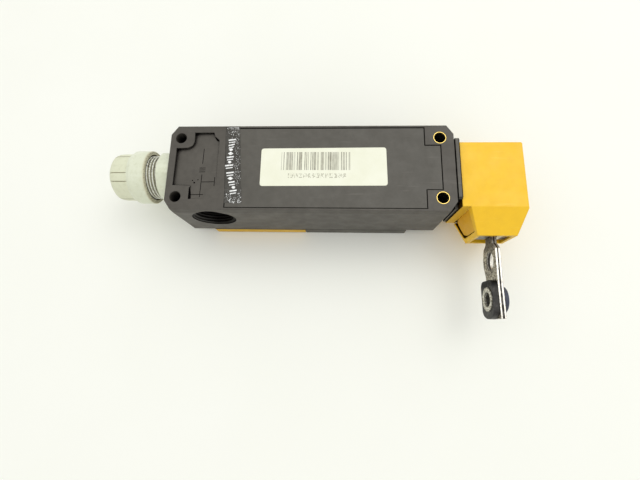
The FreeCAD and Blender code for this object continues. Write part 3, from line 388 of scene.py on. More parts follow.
def eyelet_material():
    """Worn eyelet: speckled bright ring; the bore is painted dark as painted shade."""
    k = Mat("steel_eyelet", rough=0.42, metallic=0.7)
    x, y, z = k.sep()
    dy, dz = k.math("ADD", y, 0.0593), k.math("ADD", z, 0.0155)
    r = k.math("SQRT", k.math("ADD", k.math("MULTIPLY", dy, dy), k.math("MULTIPLY", dz, dz)))
    bore = k.math("MULTIPLY", k.ramp(r, 0.00345, 0.00362, 1.0, 0.0), k.ramp(x, 0.0846, 0.0851))
    n = k.noise(1300, 4, 0.75)
    col = k.mix(k.ramp(n, 0.42, 0.58), lin(244, 242, 230), lin(118, 112, 92))
    col = k.mix(k.ramp(k.noise(2100, 3, 0.7), 0.58, 0.64, 0.0, 0.8), col, lin(46, 40, 30))
    col = k.mix(k.ramp(r, 0.0052, 0.0056, 0.0, 0.6), col, lin(60, 56, 46))
    col = k.mix(k.math("MULTIPLY", bore, 0.9), col, lin(44, 42, 38))
    return k.done(col, k.ramp(n, 0.3, 0.7, 0.35, 0.6), k.bump(n, 0.35, 0.00006), k.ramp(bore, 0.0, 1.0, 0.7, 0.2))


m_eyelet = eyelet_material()
m_copper = metal("copper_winding", lin(196, 110, 66), lin(150, 74, 40), rough=0.3, grime=0.1, brush=(12, 0.3, 0.3))
def guide_material():
    """Grey guides in the mouth: polished beside the tongue, oily brown further out."""
    k = Mat("steel_guides", rough=0.4, metallic=0.8)
    x, y, z = k.sep()
    n = k.noise(900, 4, 0.7)
    col = k.mix(k.ramp(n, 0.35, 0.65), lin(170, 172, 166), lin(118, 120, 114))
    right = k.ramp(x, 0.0888, 0.0892)
    bright = k.math("MULTIPLY", right, k.ramp(x, 0.0920, 0.0926, 1.0, 0.0))
    col = k.mix(bright, col, k.mix(k.ramp(n, 0.4, 0.6), lin(236, 230, 208), lin(170, 158, 130)))
    col = k.mix(k.math("MULTIPLY", right, k.ramp(x, 0.0922, 0.0930)), col, k.mix(k.ramp(n, 0.4, 0.6), lin(110, 84, 50), lin(52, 38, 24)))
    return k.done(col, k.ramp(n, 0.3, 0.7, 0.35, 0.6), k.bump(n, 0.3, 0.00005))


m_guide = guide_material()
m_brass = metal("brass_turned", lin(226, 190, 96), lin(196, 158, 70), rough=0.22, grime=0.15, brush=(1, 1, 0.05), grime_and_shade_col=lin(110, 82, 38))


def bush_material():
    """Brass bushes: bright turned rim; below the top face and outside the rim they are painted nearly black as painted
    shade.
    """
    k = Mat("brass_bush", rough=0.25, metallic=1.0)
    x, y, z = k.sep()
    dx, dy = k.math("SUBTRACT", x, 0.06214), k.math("SUBTRACT", k.math("ABSOLUTE", y), 0.015)
    r = k.math("SQRT", k.math("ADD", k.math("MULTIPLY", dx, dx), k.math("MULTIPLY", dy, dy)))
    depth = k.math("MAXIMUM", k.ramp(z, -0.0009, -0.0001, 1.0, 0.0), k.ramp(r, 0.00292, 0.00300))
    br = k.noise(2500, 2, 0.5)
    col = k.mix(k.ramp(br, 0.3, 0.7), lin(246, 222, 134), lin(226, 190, 92))
    col = k.mix(depth, col, lin(26, 22, 12))
    return k.done(col, k.ramp(depth, 0.0, 1.0, 0.25, 0.6), k.bump(br, 0.2, 0.00003), k.ramp(depth, 0.0, 1.0, 0.9, 0.3))


m_bush = bush_material()


def rubber(name, base, light, bluish):
    k = Mat(name, rough=0.5, spec=0.4)
    x, y, z = k.sep()
    col = k.mix(k.ramp(k.noise(300, 4), 0.3, 0.7), base, light)
    top = k.ramp(y, -0.0548, -0.0530, 0.0, 0.9)
    col = k.mix(top, col, lin(8, 8, 7))
    k.put(k.b.inputs["Specular IOR Level"], k.ramp(top, 0.0, 1.0, 0.4, 0.12))
    col = k.mix(k.math("MULTIPLY", k.edge(0.0008), 0.55), col, bluish)
    dust = k.ramp(k.noise(900, 4, 0.7), 0.55, 0.72, 0.0, 0.4)
    dust = k.math("MULTIPLY", dust, k.ramp(y, -0.0545, -0.0525, 1.0, 0.3))
    col = k.mix(dust, col, lin(120, 118, 112))
    h = k.noise(2200, 3)
    return k.done(col, k.ramp(k.noise(500, 3), 0.3, 0.7, 0.38, 0.62), k.bump(h, 0.35, 0.00008, k.soft_normal(0.0008)))


m_rubber = rubber("rubber_bush", lin(36, 35, 33), lin(54, 52, 48), lin(76, 76, 80))
m_rubber_b = rubber("rubber_bush_blue", lin(52, 55, 68), lin(70, 74, 88), lin(100, 108, 134))


def gland_material(name, thread=False):
    k = Mat(name, rough=0.45, spec=0.4)
    base, light, dark = lin(219, 223, 199), lin(228, 232, 212), lin(194, 196, 165)
    x, y, z = k.sep()
    col = k.mix(k.ramp(k.noise(70, 4, 0.6), 0.35, 0.65), base, light)
    if not thread:
        # the gripping cap is browner than the skirt
        cap = k.ramp(x, -0.0886, -0.0884, 1.0, 0.0)
        col = k.mix(k.math("MULTIPLY", cap, 0.55), col, lin(218, 219, 188))
        # painted shade: the incised lines on the cap are painted dark
        ang = k.math("ARCTAN2", k.math("ADD", z, 0.0136), y)
        line = None
        for a0, w in ((54.0, 0.00034), (101.0, 0.00020), (121.0, 0.00020)):
            d = k.math("FRACT", k.math("ADD", k.math("MULTIPLY", k.math("SUBTRACT", ang, math.radians(a0)), 3 / (2 * math.pi)), 3.5))
            d = k.math("MULTIPLY", k.math("ABSOLUTE", k.math("SUBTRACT", d, 0.5)), 2 * math.pi / 3 * 0.0125)
            m = k.ramp(d, 0.5 * w, 1.2 * w, 1.0, 0.0)
            line = m if line is None else k.math("MAXIMUM", line, m)
        line = k.math("MULTIPLY", line, k.math("MULTIPLY", k.ramp(x, -0.0886, -0.0882, 0.62, 0.0), k.ramp(x, -0.0976, -0.0968)))
        col = k.mix(line, col, lin(112, 104, 82))
        # grubby rim at the open end
        rim = k.math("MULTIPLY", k.ramp(x, -0.0802, -0.0794, 0.0, 0.85), k.ramp(k.noise(800, 4, 0.7), 0.3, 0.6, 0.7, 1.0))
        col = k.mix(rim, col, lin(198, 192, 162))
        speck = k.math("MULTIPLY", k.ramp(x, -0.0796, -0.0793), k.ramp(k.noise(1900, 3, 0.7), 0.53, 0.61, 0.0, 0.8))
        col = k.mix(speck, col, lin(82, 64, 40))
    col = k.mix(k.ramp(k.noise(420, 4, 0.65), 0.5, 0.75, 0.0, 0.45), col, dark)
    # painted shade: hollows found by ambient occlusion are darkened, the deepest ones near black
    near = k.ao(0.0016)
    occ = k.math("MULTIPLY", k.ramp(near, 0.35, 0.9, 0.75, 0.0), k.ramp(k.noise(900, 4, 0.7), 0.3, 0.6, 0.6, 1.0))
    col = k.mix(occ, col, lin(128, 112, 74))
    col = k.mix(k.ramp(near, 0.12, 0.45, 0.9, 0.0), col, lin(60, 50, 30))
    if thread:
        r = k.math("SQRT", k.math("ADD", k.math("MULTIPLY", y, y),
                                  k.math("MULTIPLY", k.math("ADD", z, 0.0136), k.math("ADD", z, 0.0136))))
        on = k.math("MULTIPLY", k.ramp(x, -0.0825, -0.0822), k.ramp(x, -0.0742, -0.0739, 1.0, 0.0))
        # painted highlight on the thread crests and painted shade in the valleys
        crest = k.math("MULTIPLY", on, k.ramp(r, 0.0105, 0.0108))
        valley = k.math("MULTIPLY", on, k.ramp(r, 0.0100, 0.0106, 1.0, 0.0))
        patch = k.noise(1100, 4, 0.75)
        col = k.mix(k.math("MULTIPLY", valley, k.ramp(patch, 0.35, 0.55, 0.35, 0.9)), col, lin(128, 122, 105))
        col = k.mix(k.math("MULTIPLY", crest, 0.85), col, lin(244, 245, 236))
        flick = k.math("MULTIPLY", on, k.ramp(k.noise(1300, 3, 0.6), 0.49, 0.57, 0.0, 0.85))
        flick = k.math("MULTIPLY", flick, k.ramp(y, -0.002, 0.004, 0.35, 1.0))
        col = k.mix(flick, col, lin(52, 47, 38))
    h = k.noise(1600, 3)
    return k.done(col, k.ramp(k.noise(200, 3), 0.3, 0.7, 0.38, 0.55), k.bump(h, 0.15, 0.00006))


m_gland = gland_material("plastic_gland")
m_gland_thread = gland_material("plastic_gland_thread", True)


def label_material():
    """Cream paper with a block of uneven bars and a band of pale specks, none of them characters."""
    k = Mat("paper_label", rough=0.6, spec=0.3)
    x, y, z = k.sep()
    paper = k.mix(k.ramp(k.noise(90, 4), 0.35, 0.65), lin(238, 239, 218), lin(243, 244, 226))
    paper = k.mix(k.ramp(k.noise(260, 4, 0.7), 0.66, 0.76, 0.0, 0.35), paper, lin(224, 218, 178))
    cell = k.math("FLOOR", k.math("MULTIPLY", x, 1 / 0.00040))
    w = k.white(k.comb(cell, 3.0, 1.0))
    w3 = k.white(k.comb(cell, 5.0, 7.0))
    bar = k.math("GREATER_THAN", w, 0.36)
    inx = k.math("MULTIPLY", k.ramp(x, -0.01265, -0.0126), k.ramp(x, 0.0203, 0.02035, 1.0, 0.0))
    iny = k.math("MULTIPLY", k.ramp(y, -0.0016, -0.0015), k.ramp(y, 0.0076, 0.0077, 1.0, 0.0))
    fade = k.math("MULTIPLY", k.ramp(k.noise(900, 3, vec=k.scaled(1.0, 0.35, 1.0)), 0.3, 0.65, 0.6, 0.95), k.ramp(w3, 0.0, 1.0, 0.3, 1.0))
    bars_ = k.math("MULTIPLY", k.math("MULTIPLY", bar, k.math("MULTIPLY", inx, iny)), fade)
    col = k.mix(bars_, paper, lin(118, 113, 98))
    # band of pale specks in blocks under the bars
    u2, v2 = k.math("MULTIPLY", x, 1 / 0.00042), k.math("MULTIPLY", y, 1 / 0.00055)
    dot = k.math("GREATER_THAN", k.white(k.comb(k.math("FLOOR", u2), k.math("FLOOR", v2), 4.0)), 0.5)
    c2 = k.math("FRACT", k.math("MULTIPLY", x, 1 / 0.00205))
    on = k.math("LESS_THAN", c2, 0.78)
    inx2 = k.math("MULTIPLY", k.ramp(x, -0.0093, -0.0092), k.ramp(x, 0.0180, 0.0181, 1.0, 0.0))
    iny2 = k.math("MULTIPLY", k.ramp(y, -0.00555, -0.0055), k.ramp(y, -0.0032, -0.00315, 1.0, 0.0))
    dash = k.math("MULTIPLY", k.math("MULTIPLY", dot, on), k.math("MULTIPLY", inx2, iny2))
    dash = k.math("MULTIPLY", dash, k.ramp(k.noise(1500, 3), 0.35, 0.6, 0.35, 0.8))
    col = k.mix(dash, col, lin(168, 166, 146))
    # painted shade: the paper's edges are darkened
    e = k.math("MULTIPLY", k.edge(0.0003), 0.5)
    col = k.mix(e, col, lin(206, 200, 176))
    h = k.noise(900, 3)
    return k.done(col, k.ramp(k.noise(130, 3), 0.3, 0.7, 0.5, 0.7), k.bump(h, 0.12, 0.00008))


m_label = label_material()


def seal_material():
    """Dark film that nearly matches the cover, with faint silvery veins."""
    k = Mat("seal_film", rough=0.55, spec=0.3)
    x, y, z = k.sep()
    film = k.mix(k.ramp(k.noise(260, 4), 0.3, 0.7), lin(66, 64, 59), lin(76, 74, 69))
    ends = k.math("MAXIMUM", k.ramp(y, 0.0135, 0.0175), k.ramp(y, -0.0125, -0.0085, 1.0, 0.0))
    vein = k.ramp(k.math("ABSOLUTE", k.math("SUBTRACT", k.noise(520, 3, 0.6, dist=1.2), 0.5)), 0.0, 0.03, 1.0, 0.0)
    lit = k.math("MULTIPLY", k.math("MULTIPLY", vein, ends), k.ramp(k.noise(1900, 3, 0.7), 0.45, 0.6, 0.0, 0.55))
    col = k.mix(lit, film, lin(168, 170, 166))
    return k.done(col, k.ramp(k.noise(400, 3), 0.3, 0.7, 0.5, 0.7), k.bump(k.noise(1500, 3), 0.2, 0.00006))


m_seal = seal_material()
k = Mat("seal_print", rough=0.5)
m_print = k.done(k.mix(k.ramp(k.noise(1700, 4, 0.7), 0.46, 0.62), lin(252, 253, 252), lin(206, 208, 205)), 0.5,
                 k.bump(k.noise(1500, 3), 0.2, 0.00005))
k = Mat("seal_silver", rough=0.4, metallic=0.3)
m_silver = k.done(k.mix(k.ramp(k.noise(2300, 3, 0.7), 0.45, 0.65), lin(250, 251, 250), lin(150, 152, 150)), 0.4,
                  k.bump(k.noise(1500, 3), 0.2, 0.00005))


ASSIGN = {
    "housing": m_black, "back_cover": m_cover, "mounting_bushes": m_bush, "neck_gasket": m_gasket, "neck_flange": m_flange,
    "head_body": m_yellow, "snout_insert": m_insert, "head_screws": m_zinc, "entry_guides": m_guide, "cam_pin": m_steel,
    "solenoid_yoke": m_zinc, "solenoid_coil": m_copper, "coil_bobbin": m_phenolic, "contact_block": m_phenolic,
    "fixed_contacts": m_brass, "terminal_screws": m_zinc, "terminal_gasket": m_gasket, "terminal_lid": m_yellow_lid,
    "terminal_lid_screws": m_zinc, "mechanism_gasket": m_gasket, "mechanism_lid": m_lid_black, "mechanism_lid_screws": m_zinc,
    "gland_body": m_gland_thread, "gland_seal": m_gasket, "lock_spring": m_steel, "slider_spring": m_steel,
    "label_plate": m_label, "seal_strip": m_seal, "actuator_plate_left": m_plate, "actuator_plate_right": m_plate,
    "bush_left": m_rubber, "bush_right": m_rubber_b, "bush_eyelet": m_eyelet, "cam_wheel": m_steel, "lock_bolt": m_steel,
    "armature": m_steel, "switching_slider": m_phenolic, "door_rod": m_steel, "contact_bridge": m_copper,
    "release_screw": m_brass, "gland_nut": m_gland,
}
for n, o in NODES.items():
    o.data.materials.clear()
    o.data.materials.append(ASSIGN[n])


# ------------------------------------------------------------------ mesh helpers
def mesh(name, verts, faces, mat, body, smooth=False, auto=None):
    me = bpy.data.meshes.new(name)
    me.from_pydata([tuple(c * MM for c in v) for v in verts], [], faces)
    me.validate()
    me.update()
    o = bpy.data.objects.new(name, me)
    bpy.context.scene.collection.objects.link(o)
    me.materials.append(mat)
    if smooth:
        for p in me.polygons:
            p.use_smooth = True
    if auto:
        for p in me.polygons:
            p.use_smooth = True
        lim = math.radians(auto)
        import bmesh
        bm = bmesh.new()
        bm.from_mesh(me)
        for e in bm.edges:
            if len(e.link_faces) == 2 and e.calc_face_angle(0) > lim:
                e.smooth = False
        bm.to_mesh(me)
        bm.free()
    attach(o, body)
    return o


def revolved(name, profile, zc, mat, body, seg=144, radius=None, auto=32, cap=False):
    """A closed ring of rows (x, r) about the X-direction axis at height zc. radius(theta, x, r, i) may change r."""
    verts, faces = [], []
    n = len(profile)
    for i, (x, r) in enumerate(profile):
        for j in range(seg):
            a = 2 * math.pi * j / seg
            rr = radius(a, x, r, i) if radius else r
            verts.append((x, rr * math.cos(a), zc + rr * math.sin(a)))
    for i in range(n):
        i2 = (i + 1) % n
        for j in range(seg):
            j2 = (j + 1) % seg
            faces.append((i * seg + j, i * seg + j2, i2 * seg + j2, i2 * seg + j))
    return mesh(name, verts, faces, mat, body, auto=auto)


def bars(name, rects, z0, z1, mat, body, skew=None, inset=0.06):
    """Low pads: each rect is a polygon of (x, y), standing from z0 to z1, with a narrow chamfer."""
    verts, faces = [], []
    for poly in rects:
        b = len(verts)
        n = len(poly)
        cx = sum(p[0] for p in poly) / n
        cy = sum(p[1] for p in poly) / n
        if sum(poly[i][0] * poly[(i + 1) % n][1] - poly[(i + 1) % n][0] * poly[i][1] for i in range(n)) < 0:
            poly = poly[::-1]
        for (zz, k_) in ((z0, 0.0), (z1 - 0.3 * (z1 - z0), 0.0), (z1, inset)):
            for (x, y) in poly:
                d = math.hypot(x - cx, y - cy) or 1
                verts.append((x - (x - cx) / d * k_, y - (y - cy) / d * k_, zz))
        faces.append(tuple(b + i for i in range(n))[::-1])
        faces.append(tuple(b + 2 * n + i for i in range(n)))
        for lv in (0, 1):
            for i in range(n):
                j = (i + 1) % n
                faces.append((b + lv * n + i, b + lv * n + j, b + (lv + 1) * n + j, b + (lv + 1) * n + i))
    return mesh(name, verts, faces, mat, body)


# ------------------------------------------------------------------ cable gland
GZ = -13.6


NUT_LINES = [math.radians(v + 120 * t) for t in range(3) for v in (54.0, 101.0, 121.0)]


def nut_radius(a, x, r, i):
    """Cap with three narrow raised bands, shallow flats between them and sharp incised lines; smooth skirt."""
    if r < 8.2 or x > -88.7:
        return r
    k_ = min(1.0, max(0.0, (-88.7 - x) / 0.4)) * min(1.0, max(0.0, (x + 98.2) / 2.2))
    d = min(abs((a - v + math.pi) % (2 * math.pi) - math.pi) for v in NUT_LINES)
    groove = 0.42 * max(0.0, 1.0 - d * 12.0 / 0.3)
    s = (math.degrees(a) - 1.0) % 120.0
    if 100.0 <= s <= 120.0:
        flat = -0.05
    else:
        t = (s % 53.0) / 53.0 if s < 53.0 else (s - 53.0) / 47.0
        flat = 0.32 * math.sin(math.pi * min(1.0, max(0.0, t)))
    return r - k_ * (flat + groove)


nut = []
for x, r in [(-79.2, 11.5), (-79.2, 11.9), (-79.25, 12.9), (-79.45, 13.2), (-79.8, 13.3), (-83.0, 13.3), (-86.2, 13.3), (-86.8, 13.25),
             (-87.2, 13.0), (-87.8, 12.5), (-88.2, 12.28), (-88.6, 12.2), (-88.9, 12.18), (-89.2, 12.16), (-90.5, 12.15),
             (-92.0, 12.12), (-93.5, 12.1), (-94.6, 12.05), (-95.3, 11.95), (-96.0, 11.7), (-96.7, 11.35), (-97.3, 10.8),
             (-97.8, 10.1), (-98.15, 9.4), (-98.3, 8.9), (-98.3, 7.0), (-98.3, 6.0), (-98.1, 5.6), (-93.2, 5.6), (-92.2, 7.9),
             (-87.6, 7.9), (-87.6, 11.5), (-83.0, 11.5)]:
    nut.append((x, r))
gn = revolved("gland_nut_shell", nut, GZ, m_gland, "nut", seg=576, radius=nut_radius, auto=28)
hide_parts("gland_nut")


def body_radius(a, x, r, i):
    if -81.85 <= x <= -74.4 and r > 9.9:
        # helical thread, 1.5 mm pitch, rounded crest and root
        s = ((x + 81.85) / 1.5 - a / (2 * math.pi)) % 1.0
        tri = 1.0 - abs(2 * s - 1.0)
        run = min(1.0, max(0.0, (x + 81.85) / 0.5), max(0.0, (-74.4 - x) / 0.4))
        shape = 0.5 - 0.5 * math.cos(math.pi * min(1.0, max(0.0, (tri - 0.12) / 0.76)))
        return 9.95 + 0.9 * shape * run
    if -74.2 <= x <= -67.2 and r > 11.0:
        hexr = 11.65 / math.cos(((a + math.pi / 6) % (math.pi / 3)) - math.pi / 6)
        return min(r, hexr)
    return r


gb = [(-58.2, 7.6), (-58.2, 9.6), (-58.6, 9.8), (-67.2, 9.8), (-67.2, 11.9), (-67.5, 12.4), (-70.2, 12.4), (-73.7, 12.4), (-74.1, 11.9),
      (-74.1, 10.0), (-74.2, 9.95), (-74.38, 9.95)]
x = -74.4
while x > -81.86:
    gb.append((round(x, 3), 9.96))
    x -= 0.125
gb += [(-81.9, 9.95), (-86.4, 9.95), (-86.6, 9.7), (-86.6, 7.6), (-80.0, 7.6), (-66.0, 7.6)]
gbo = revolved("gland_body_threaded", gb, GZ, m_gland_thread, "base", seg=144, radius=body_radius, auto=40)
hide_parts("gland_body")

# ------------------------------------------------------------------ thread inside the side entry
EX, EZ = -46.6, -12.4
verts, faces = [], []
SEG, ROWS = 144, 60
y0, y1 = -21.5, -14.1
for i in range(ROWS + 1):
    y = y0 + (y1 - y0) * i / ROWS
    for j in range(SEG):
        a = 2 * math.pi * j / SEG
        s = ((y - y0) / 1.5 - a / (2 * math.pi)) % 1.0
        tri = 1.0 - abs(2 * s - 1.0)
        run = min(1.0, (y - y0) / 0.6, (y1 - y) / 0.6)
        r = 9.98 - 0.85 * max(0.0, run) * min(1.0, max(0.0, (tri - 0.1) / 0.75))
        verts.append((EX + r * math.cos(a), y, EZ + r * math.sin(a)))
base = len(verts)
for i in (0, ROWS):
    y = y0 + (y1 - y0) * i / ROWS
    for j in range(SEG):
        a = 2 * math.pi * j / SEG
        verts.append((EX + 9.995 * math.cos(a), y, EZ + 9.995 * math.sin(a)))
for i in range(ROWS):
    for j in range(SEG):
        j2 = (j + 1) % SEG
        faces.append((i * SEG + j, (i + 1) * SEG + j, (i + 1) * SEG + j2, i * SEG + j2))
for j in range(SEG):
    j2 = (j + 1) % SEG
    faces.append((base + j, j, j2, base + j2))
    faces.append((ROWS * SEG + j, base + SEG + j, base + SEG + j2, ROWS * SEG + j2))
    faces.append((base + SEG + j, base + j, base + j2, base + SEG + j2))
mesh("side_entry_thread", verts, faces, m_entry, "base", auto=40)


# ------------------------------------------------------------------ paper label with rounded corners and a gently uneven surface
def rounded_sheet(corners, r, step=1.0):
    """Outline of a quadrilateral with rounded corners."""
    out = []
    n = len(corners)
    for i in range(n):
        p, a, b = Vector(corners[i]), Vector(corners[i - 1]), Vector(corners[(i + 1) % n])
        u, v = (a - p).normalized(), (b - p).normalized()
        s, e = p + u * r, p + v * r
        for t in range(7):
            t = t / 6
            out.append(((1 - t) ** 2 * s + 2 * t * (1 - t) * p + t * t * e)[:])
    return out


def film(name, outline, z, thick, mat, body, slot=None, lift=None, grid=0.8):
    """A thin closed sheet over an outline, with an uneven surface."""
    import bmesh
    bm = bmesh.new()
    vs = [bm.verts.new((p[0] * MM, p[1] * MM, 0)) for p in outline]
    bm.faces.new(vs)
    lo = [min(p[i] for p in outline) for i in (0, 1)]
    hi = [max(p[i] for p in outline) for i in (0, 1)]
    for axis in (0, 1):
        c = lo[axis] + grid
        while c < hi[axis]:
            co = [0, 0, 0]
            no = [0, 0, 0]
            co[axis] = c * MM
            no[axis] = 1
            bmesh.ops.bisect_plane(bm, geom=bm.verts[:] + bm.edges[:] + bm.faces[:], plane_co=co, plane_no=no)
            c += grid
    top = {}
    for v in bm.verts:
        x, y = v.co.x / MM, v.co.y / MM
        v.co.z = (z + (lift(x, y) if lift else 0.0)) * MM
    r = bmesh.ops.extrude_face_region(bm, geom=bm.faces[:])
    for v in [g for g in r["geom"] if isinstance(g, bmesh.types.BMVert)]:
        v.co.z += thick * MM
    bmesh.ops.recalc_face_normals(bm, faces=bm.faces[:])
    me = bpy.data.meshes.new(name)
    bm.to_mesh(me)
    bm.free()
    o = bpy.data.objects.new(name, me)
    bpy.context.scene.collection.objects.link(o)
    me.materials.append(mat)
    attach(o, body)
    return o


lab = film("label_paper", rounded_sheet([(-22.4, 9.5), (36.9, 10.0), (37.3, -9.2), (-22.4, -9.6)], 1.4), -0.2, 0.1, m_label, "base",
           "paper_label", grid=2.0, lift=lambda x, y: 0.012 + 0.01 * math.sin(x * 0.31 + 1) * math.cos(y * 0.45))
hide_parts("label_plate")


def seal_outline():
    pts = []
    left = [(-40.6, 20.9), (-38.5, -18.1)]
    right = [(-33.7, 20.9), (-30.4, -18.0)]
    rnd = random.Random(3)
    for i in range(26):
        t = i / 25
        x = left[0][0] + (left[1][0] - left[0][0]) * t
        y = left[0][1] + (left[1][1] - left[0][1]) * t
        pts.append((x + rnd.uniform(-0.05, 0.14), y))
    for i in range(5):
        pts.append((left[1][0] + (right[1][0] - left[1][0]) * (i + 1) / 6, -18.1 + rnd.uniform(-0.1, 0.35)))
    for i in range(26):
        t = 1 - i / 25
        x = right[0][0] + (right[1][0] - right[0][0]) * t
        y = right[0][1] + (right[1][1] - right[0][1]) * t
        pts.append((x + rnd.uniform(-0.22, 0.1), y))
    return pts


def seal_lift(x, y):
    w = max(0.0, (-8.5 - y) / 9.0)
    return 0.015 + 0.045 * w * abs(math.sin(x * 2.3 + y * 1.1) * math.cos(y * 1.7 - x))


seal = film("seal_film_strip", seal_outline(), -0.19, 0.07, m_seal, "base", "seal_film", lift=seal_lift, grid=0.5)
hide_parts("seal_strip")


# two rows of slanted stripes, lozenges and dots printed on the strip: no characters
PATH = [(14.9, -36.9), (11.5, -37.1), (8.7, -37.25), (3.5, -37.35), (0.7, -37.6), (-2.1, -37.0), (-6.6, -36.35), (-10.4, -34.7)]


def path_x(y):
    for (ya, xa), (yb, xb) in zip(PATH, PATH[1:]):
        if yb <= y <= ya:
            return xa + (xb - xa) * (ya - y) / (ya - yb)
    return PATH[-1][1] if y < PATH[-1][0] else PATH[0][1]


def lozenge(c, y, w, h):
    return [[(c, y), (c + w / 2, y - h / 2), (c, y - h), (c - w / 2, y - h / 2)]]


def stripe(c, y, w, h, lean):
    return [[(c - w / 2, y - max(0, lean)), (c + w / 2, y + min(0, lean)), (c + w / 2, y - h + min(0, lean)), (c - w / 2, y - h - max(0, lean))]]


def dot(c, y, w, h):
    return [[(c + w / 2 * math.cos(t * math.pi / 6), y - h / 2 + h / 2 * math.sin(t * math.pi / 6)) for t in range(12)]]


marks = []
row = [("stripe", 3.6), ("stripe", 2.9), ("dot", 2.3), ("lozenge", 3.2), ("stripe", 3.3), ("dot", 2.1), ("stripe", 3.8), None,
       ("stripe", 3.6), ("lozenge", 3.3), ("stripe", 3.0), ("dot", 2.2), ("stripe", 3.4)]
y = 14.7
for n_, item in enumerate(row):
    if item is None:
        y -= 1.2
        continue
    kind, w = item
    c = path_x(y - 0.8)
    if kind == "stripe":
        marks += stripe(c, y, w, 0.72, 0.75 if n_ % 2 else 0.45)
        y -= 1.42
        marks += stripe(path_x(y), y, w * 0.86, 0.5, 0.75 if n_ % 2 else 0.45)
        y -= 1.12
    elif kind == "dot":
        marks += dot(c, y, w * 0.8, 1.35)
        y -= 1.75
    else:
        marks += lozenge(c, y, w * 0.85, 1.9)
        y -= 2.2
bars("seal_print_marks", marks, -0.13, -0.075, m_print, "base", inset=0.05)

# loose silver flakes: a ragged swirl at the near end, streaks at the far end and a dotted edge
rnd = random.Random(11)


def flake(x, y, size, turn):
    n = rnd.choice((4, 5))
    out = []
    for j in range(n):
        a_ = turn + 2 * math.pi * j / n + rnd.uniform(-0.3, 0.3)
        q = 1.5 * size * rnd.uniform(0.6, 1.0)
        out.append((x + q * math.cos(a_) * 1.25, y + q * math.sin(a_) * 0.8))
    return out


def on_strip(x, y):
    t = (20.9 - y) / 39.0
    return -40.3 + 2.0 * t < x < -33.8 + 3.2 * t and -18.0 < y < 20.8


flakes = []
for rad, n in ((4.3, 46), (3.5, 34), (2.6, 20), (1.6, 9)):
    for j in range(n):
        a_ = rnd.uniform(math.radians(-200), math.radians(55))
        x, y = -33.3 + (rad + rnd.gauss(0, 0.2)) * math.cos(a_), -14.2 + (rad * 0.95 + rnd.gauss(0, 0.2)) * math.sin(a_)
        if on_strip(x, y) and rnd.random() < (0.95 if math.sin(a_) < 0.1 else 0.6):
            flakes.append(flake(x, y, rnd.uniform(0.09, 0.26), a_ + 1.57))
for line in range(7):
    xs = -39.6 + line * 0.85
    for j in range(15):
        t = rnd.random()
        x, y = xs + 1.7 * t + rnd.gauss(0, 0.1), 20.4 - 5.4 * t + rnd.gauss(0, 0.1)
        if on_strip(x, y) and rnd.random() < 0.75 - 0.45 * t:
            flakes.append(flake(x, y, rnd.uniform(0.07, 0.2), 1.0))
for j in range(26):
    x, y = -40.0 + 6.0 * rnd.random(), 20.55 + rnd.gauss(0, 0.1)
    flakes.append(flake(x, min(y, 20.7), rnd.uniform(0.08, 0.22), 0.0))
for j in range(120):
    y = 15.5 - 25.0 * rnd.random()
    t = (20.9 - y) / 39.0
    x = -34.1 + 2.9 * t + rnd.gauss(-0.9, 0.75)
    if on_strip(x, y):
        flakes.append(flake(x, y, rnd.uniform(0.05, 0.15), rnd.random() * 3))
for j in range(46):
    y = 4.0 - 13.0 * rnd.random()
    x = path_x(y) + 2.4 + rnd.gauss(0, 0.6)
    if on_strip(x, y):
        flakes.append(flake(x, y, rnd.uniform(0.04, 0.11), rnd.random() * 3))
bars("seal_silver_flakes", flakes, -0.12, -0.045, m_silver, "base", inset=0.01)

# ------------------------------------------------------------------ springs
def coil(name, node, x0, x1, cy, cz, radius, wire, turns):
    """Compression spring along X from x0 to x1, with closed end coils."""
    verts, faces = [], []
    steps, sides = int(turns * 28), 10
    for i in range(steps + 1):
        t = i / steps
        # closed end coils: the pitch is small in the first and last turn
        n = t * turns
        a = 2 * math.pi * n
        live = turns - 2.0
        if n < 1.0:
            q = n * 2.05 * wire
        elif n > turns - 1.0:
            q = (x1 - x0 - 2 * wire) - (turns - n) * 2.05 * wire
        else:
            q = 2.05 * wire + (n - 1.0) / live * (x1 - x0 - 2 * wire - 4.1 * wire)
        c = (x0 + wire + q, cy + radius * math.cos(a), cz + radius * math.sin(a))
        for j in range(sides):
            b = 2 * math.pi * j / sides
            d, e = wire * math.cos(b), wire * math.sin(b)
            verts.append((c[0] + e, c[1] + d * math.cos(a), c[2] + d * math.sin(a)))
    for i in range(steps):
        for j in range(sides):
            k2 = (j + 1) % sides
            faces.append((i * sides + j, i * sides + k2, (i + 1) * sides + k2, (i + 1) * sides + j))
    faces.append(tuple(range(sides)))
    faces.append(tuple(steps * sides + j for j in range(sides))[::-1])
    o = mesh(name, verts, faces, m_steel, "base", smooth=True)
    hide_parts(node)
    return o


lock_coil = coil("lock_spring_coil", "lock_spring", 53.9, 63.3, 0.0, -15.5, 3.0, 0.32, 6.0)
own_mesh(lock_coil)
slider_coil = coil("slider_spring_coil", "slider_spring", -28.7, -17.1, 15.6, -9.8, 1.1, 0.2, 8.0)
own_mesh(slider_coil)

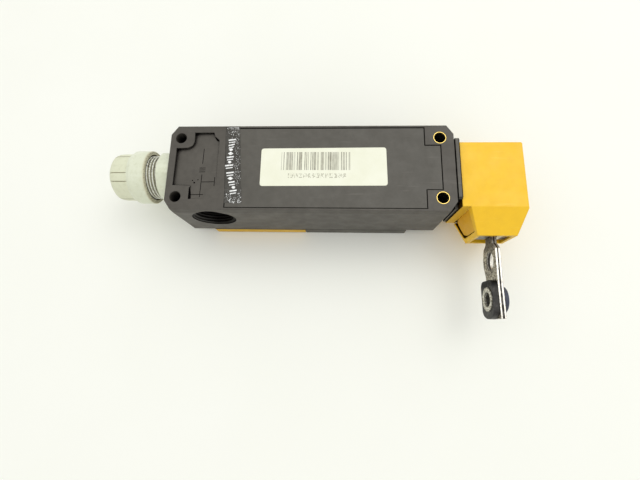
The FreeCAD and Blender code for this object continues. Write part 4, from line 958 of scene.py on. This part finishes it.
# ------------------------------------------------------------------ floor, light, camera
me = bpy.data.meshes.new("floor")
S, ZF = 3.0, CAD_LO.z - 0.00002
me.from_pydata([(-S, -S, ZF), (S, -S, ZF), (S, S, ZF), (-S, S, ZF)], [], [(0, 1, 2, 3)])
floor = bpy.data.objects.new("floor", me)
bpy.context.scene.collection.objects.link(floor)
fm = Mat("floor_board", rough=0.6, spec=0.3)
me.materials.append(fm.done(fm.mix(fm.ramp(fm.noise(9, 3), 0.3, 0.7), lin(247, 248, 240), lin(249, 250, 243)), 0.6))


def area(name, loc, target, size, power, color=(1, 1, 1), size_y=None):
    d = bpy.data.lights.new(name, "AREA")
    d.energy = power
    d.size = size
    if size_y:
        d.shape = "RECTANGLE"
        d.size_y = size_y
    d.color = color
    o = bpy.data.objects.new(name, d)
    o.location = loc
    o.rotation_mode = "QUATERNION"
    o.rotation_quaternion = (Vector(target) - Vector(loc)).to_track_quat("-Z", "Y")
    bpy.context.scene.collection.objects.link(o)
    return o


area("key", (0.65, 0.55, 1.15), (0, 0, 0), 0.9, 4.05, (1.0, 0.995, 0.98))
area("top", (0.1, 0.15, 1.3), (0, 0, 0), 1.3, 2.6, (1.0, 1.0, 0.985))
area("left", (-0.9, 0.2, 0.8), (0, 0, 0), 0.9, 0.7, (1.0, 1.0, 0.98))
area("front", (0.2, -1.0, 0.8), (0.02, -0.02, -0.02), 1.0, 0.25, (1.0, 0.98, 0.92))

world = bpy.data.worlds.new("world")
bpy.context.scene.world = world
world.use_nodes = True
world.node_tree.nodes["Background"].inputs[0].default_value = (1.0, 1.0, 0.985, 1)
world.node_tree.nodes["Background"].inputs[1].default_value = 0.775

cam_d = bpy.data.cameras.new("camera")
cam_d.sensor_width = 36.0
cam_d.lens = 374.99 / 640 * 36.0
cam_d.clip_start, cam_d.clip_end = 0.005, 20
cam = bpy.data.objects.new("camera", cam_d)
r = Vector((0.998895, 0.02012, -0.042485))
u = Vector((-0.009846, 0.973273, 0.229441))
b = Vector((0.045965, -0.228769, 0.972395))
cam.matrix_world = Matrix(((r.x, u.x, b.x, 0.0142236), (r.y, u.y, b.y, -0.0737918), (r.z, u.z, b.z, 0.1635591), (0, 0, 0, 1)))
bpy.context.scene.collection.objects.link(cam)
bpy.context.scene.camera = cam
bpy.context.scene.view_settings.view_transform = "Standard"
bpy.context.scene.view_settings.look = "None"
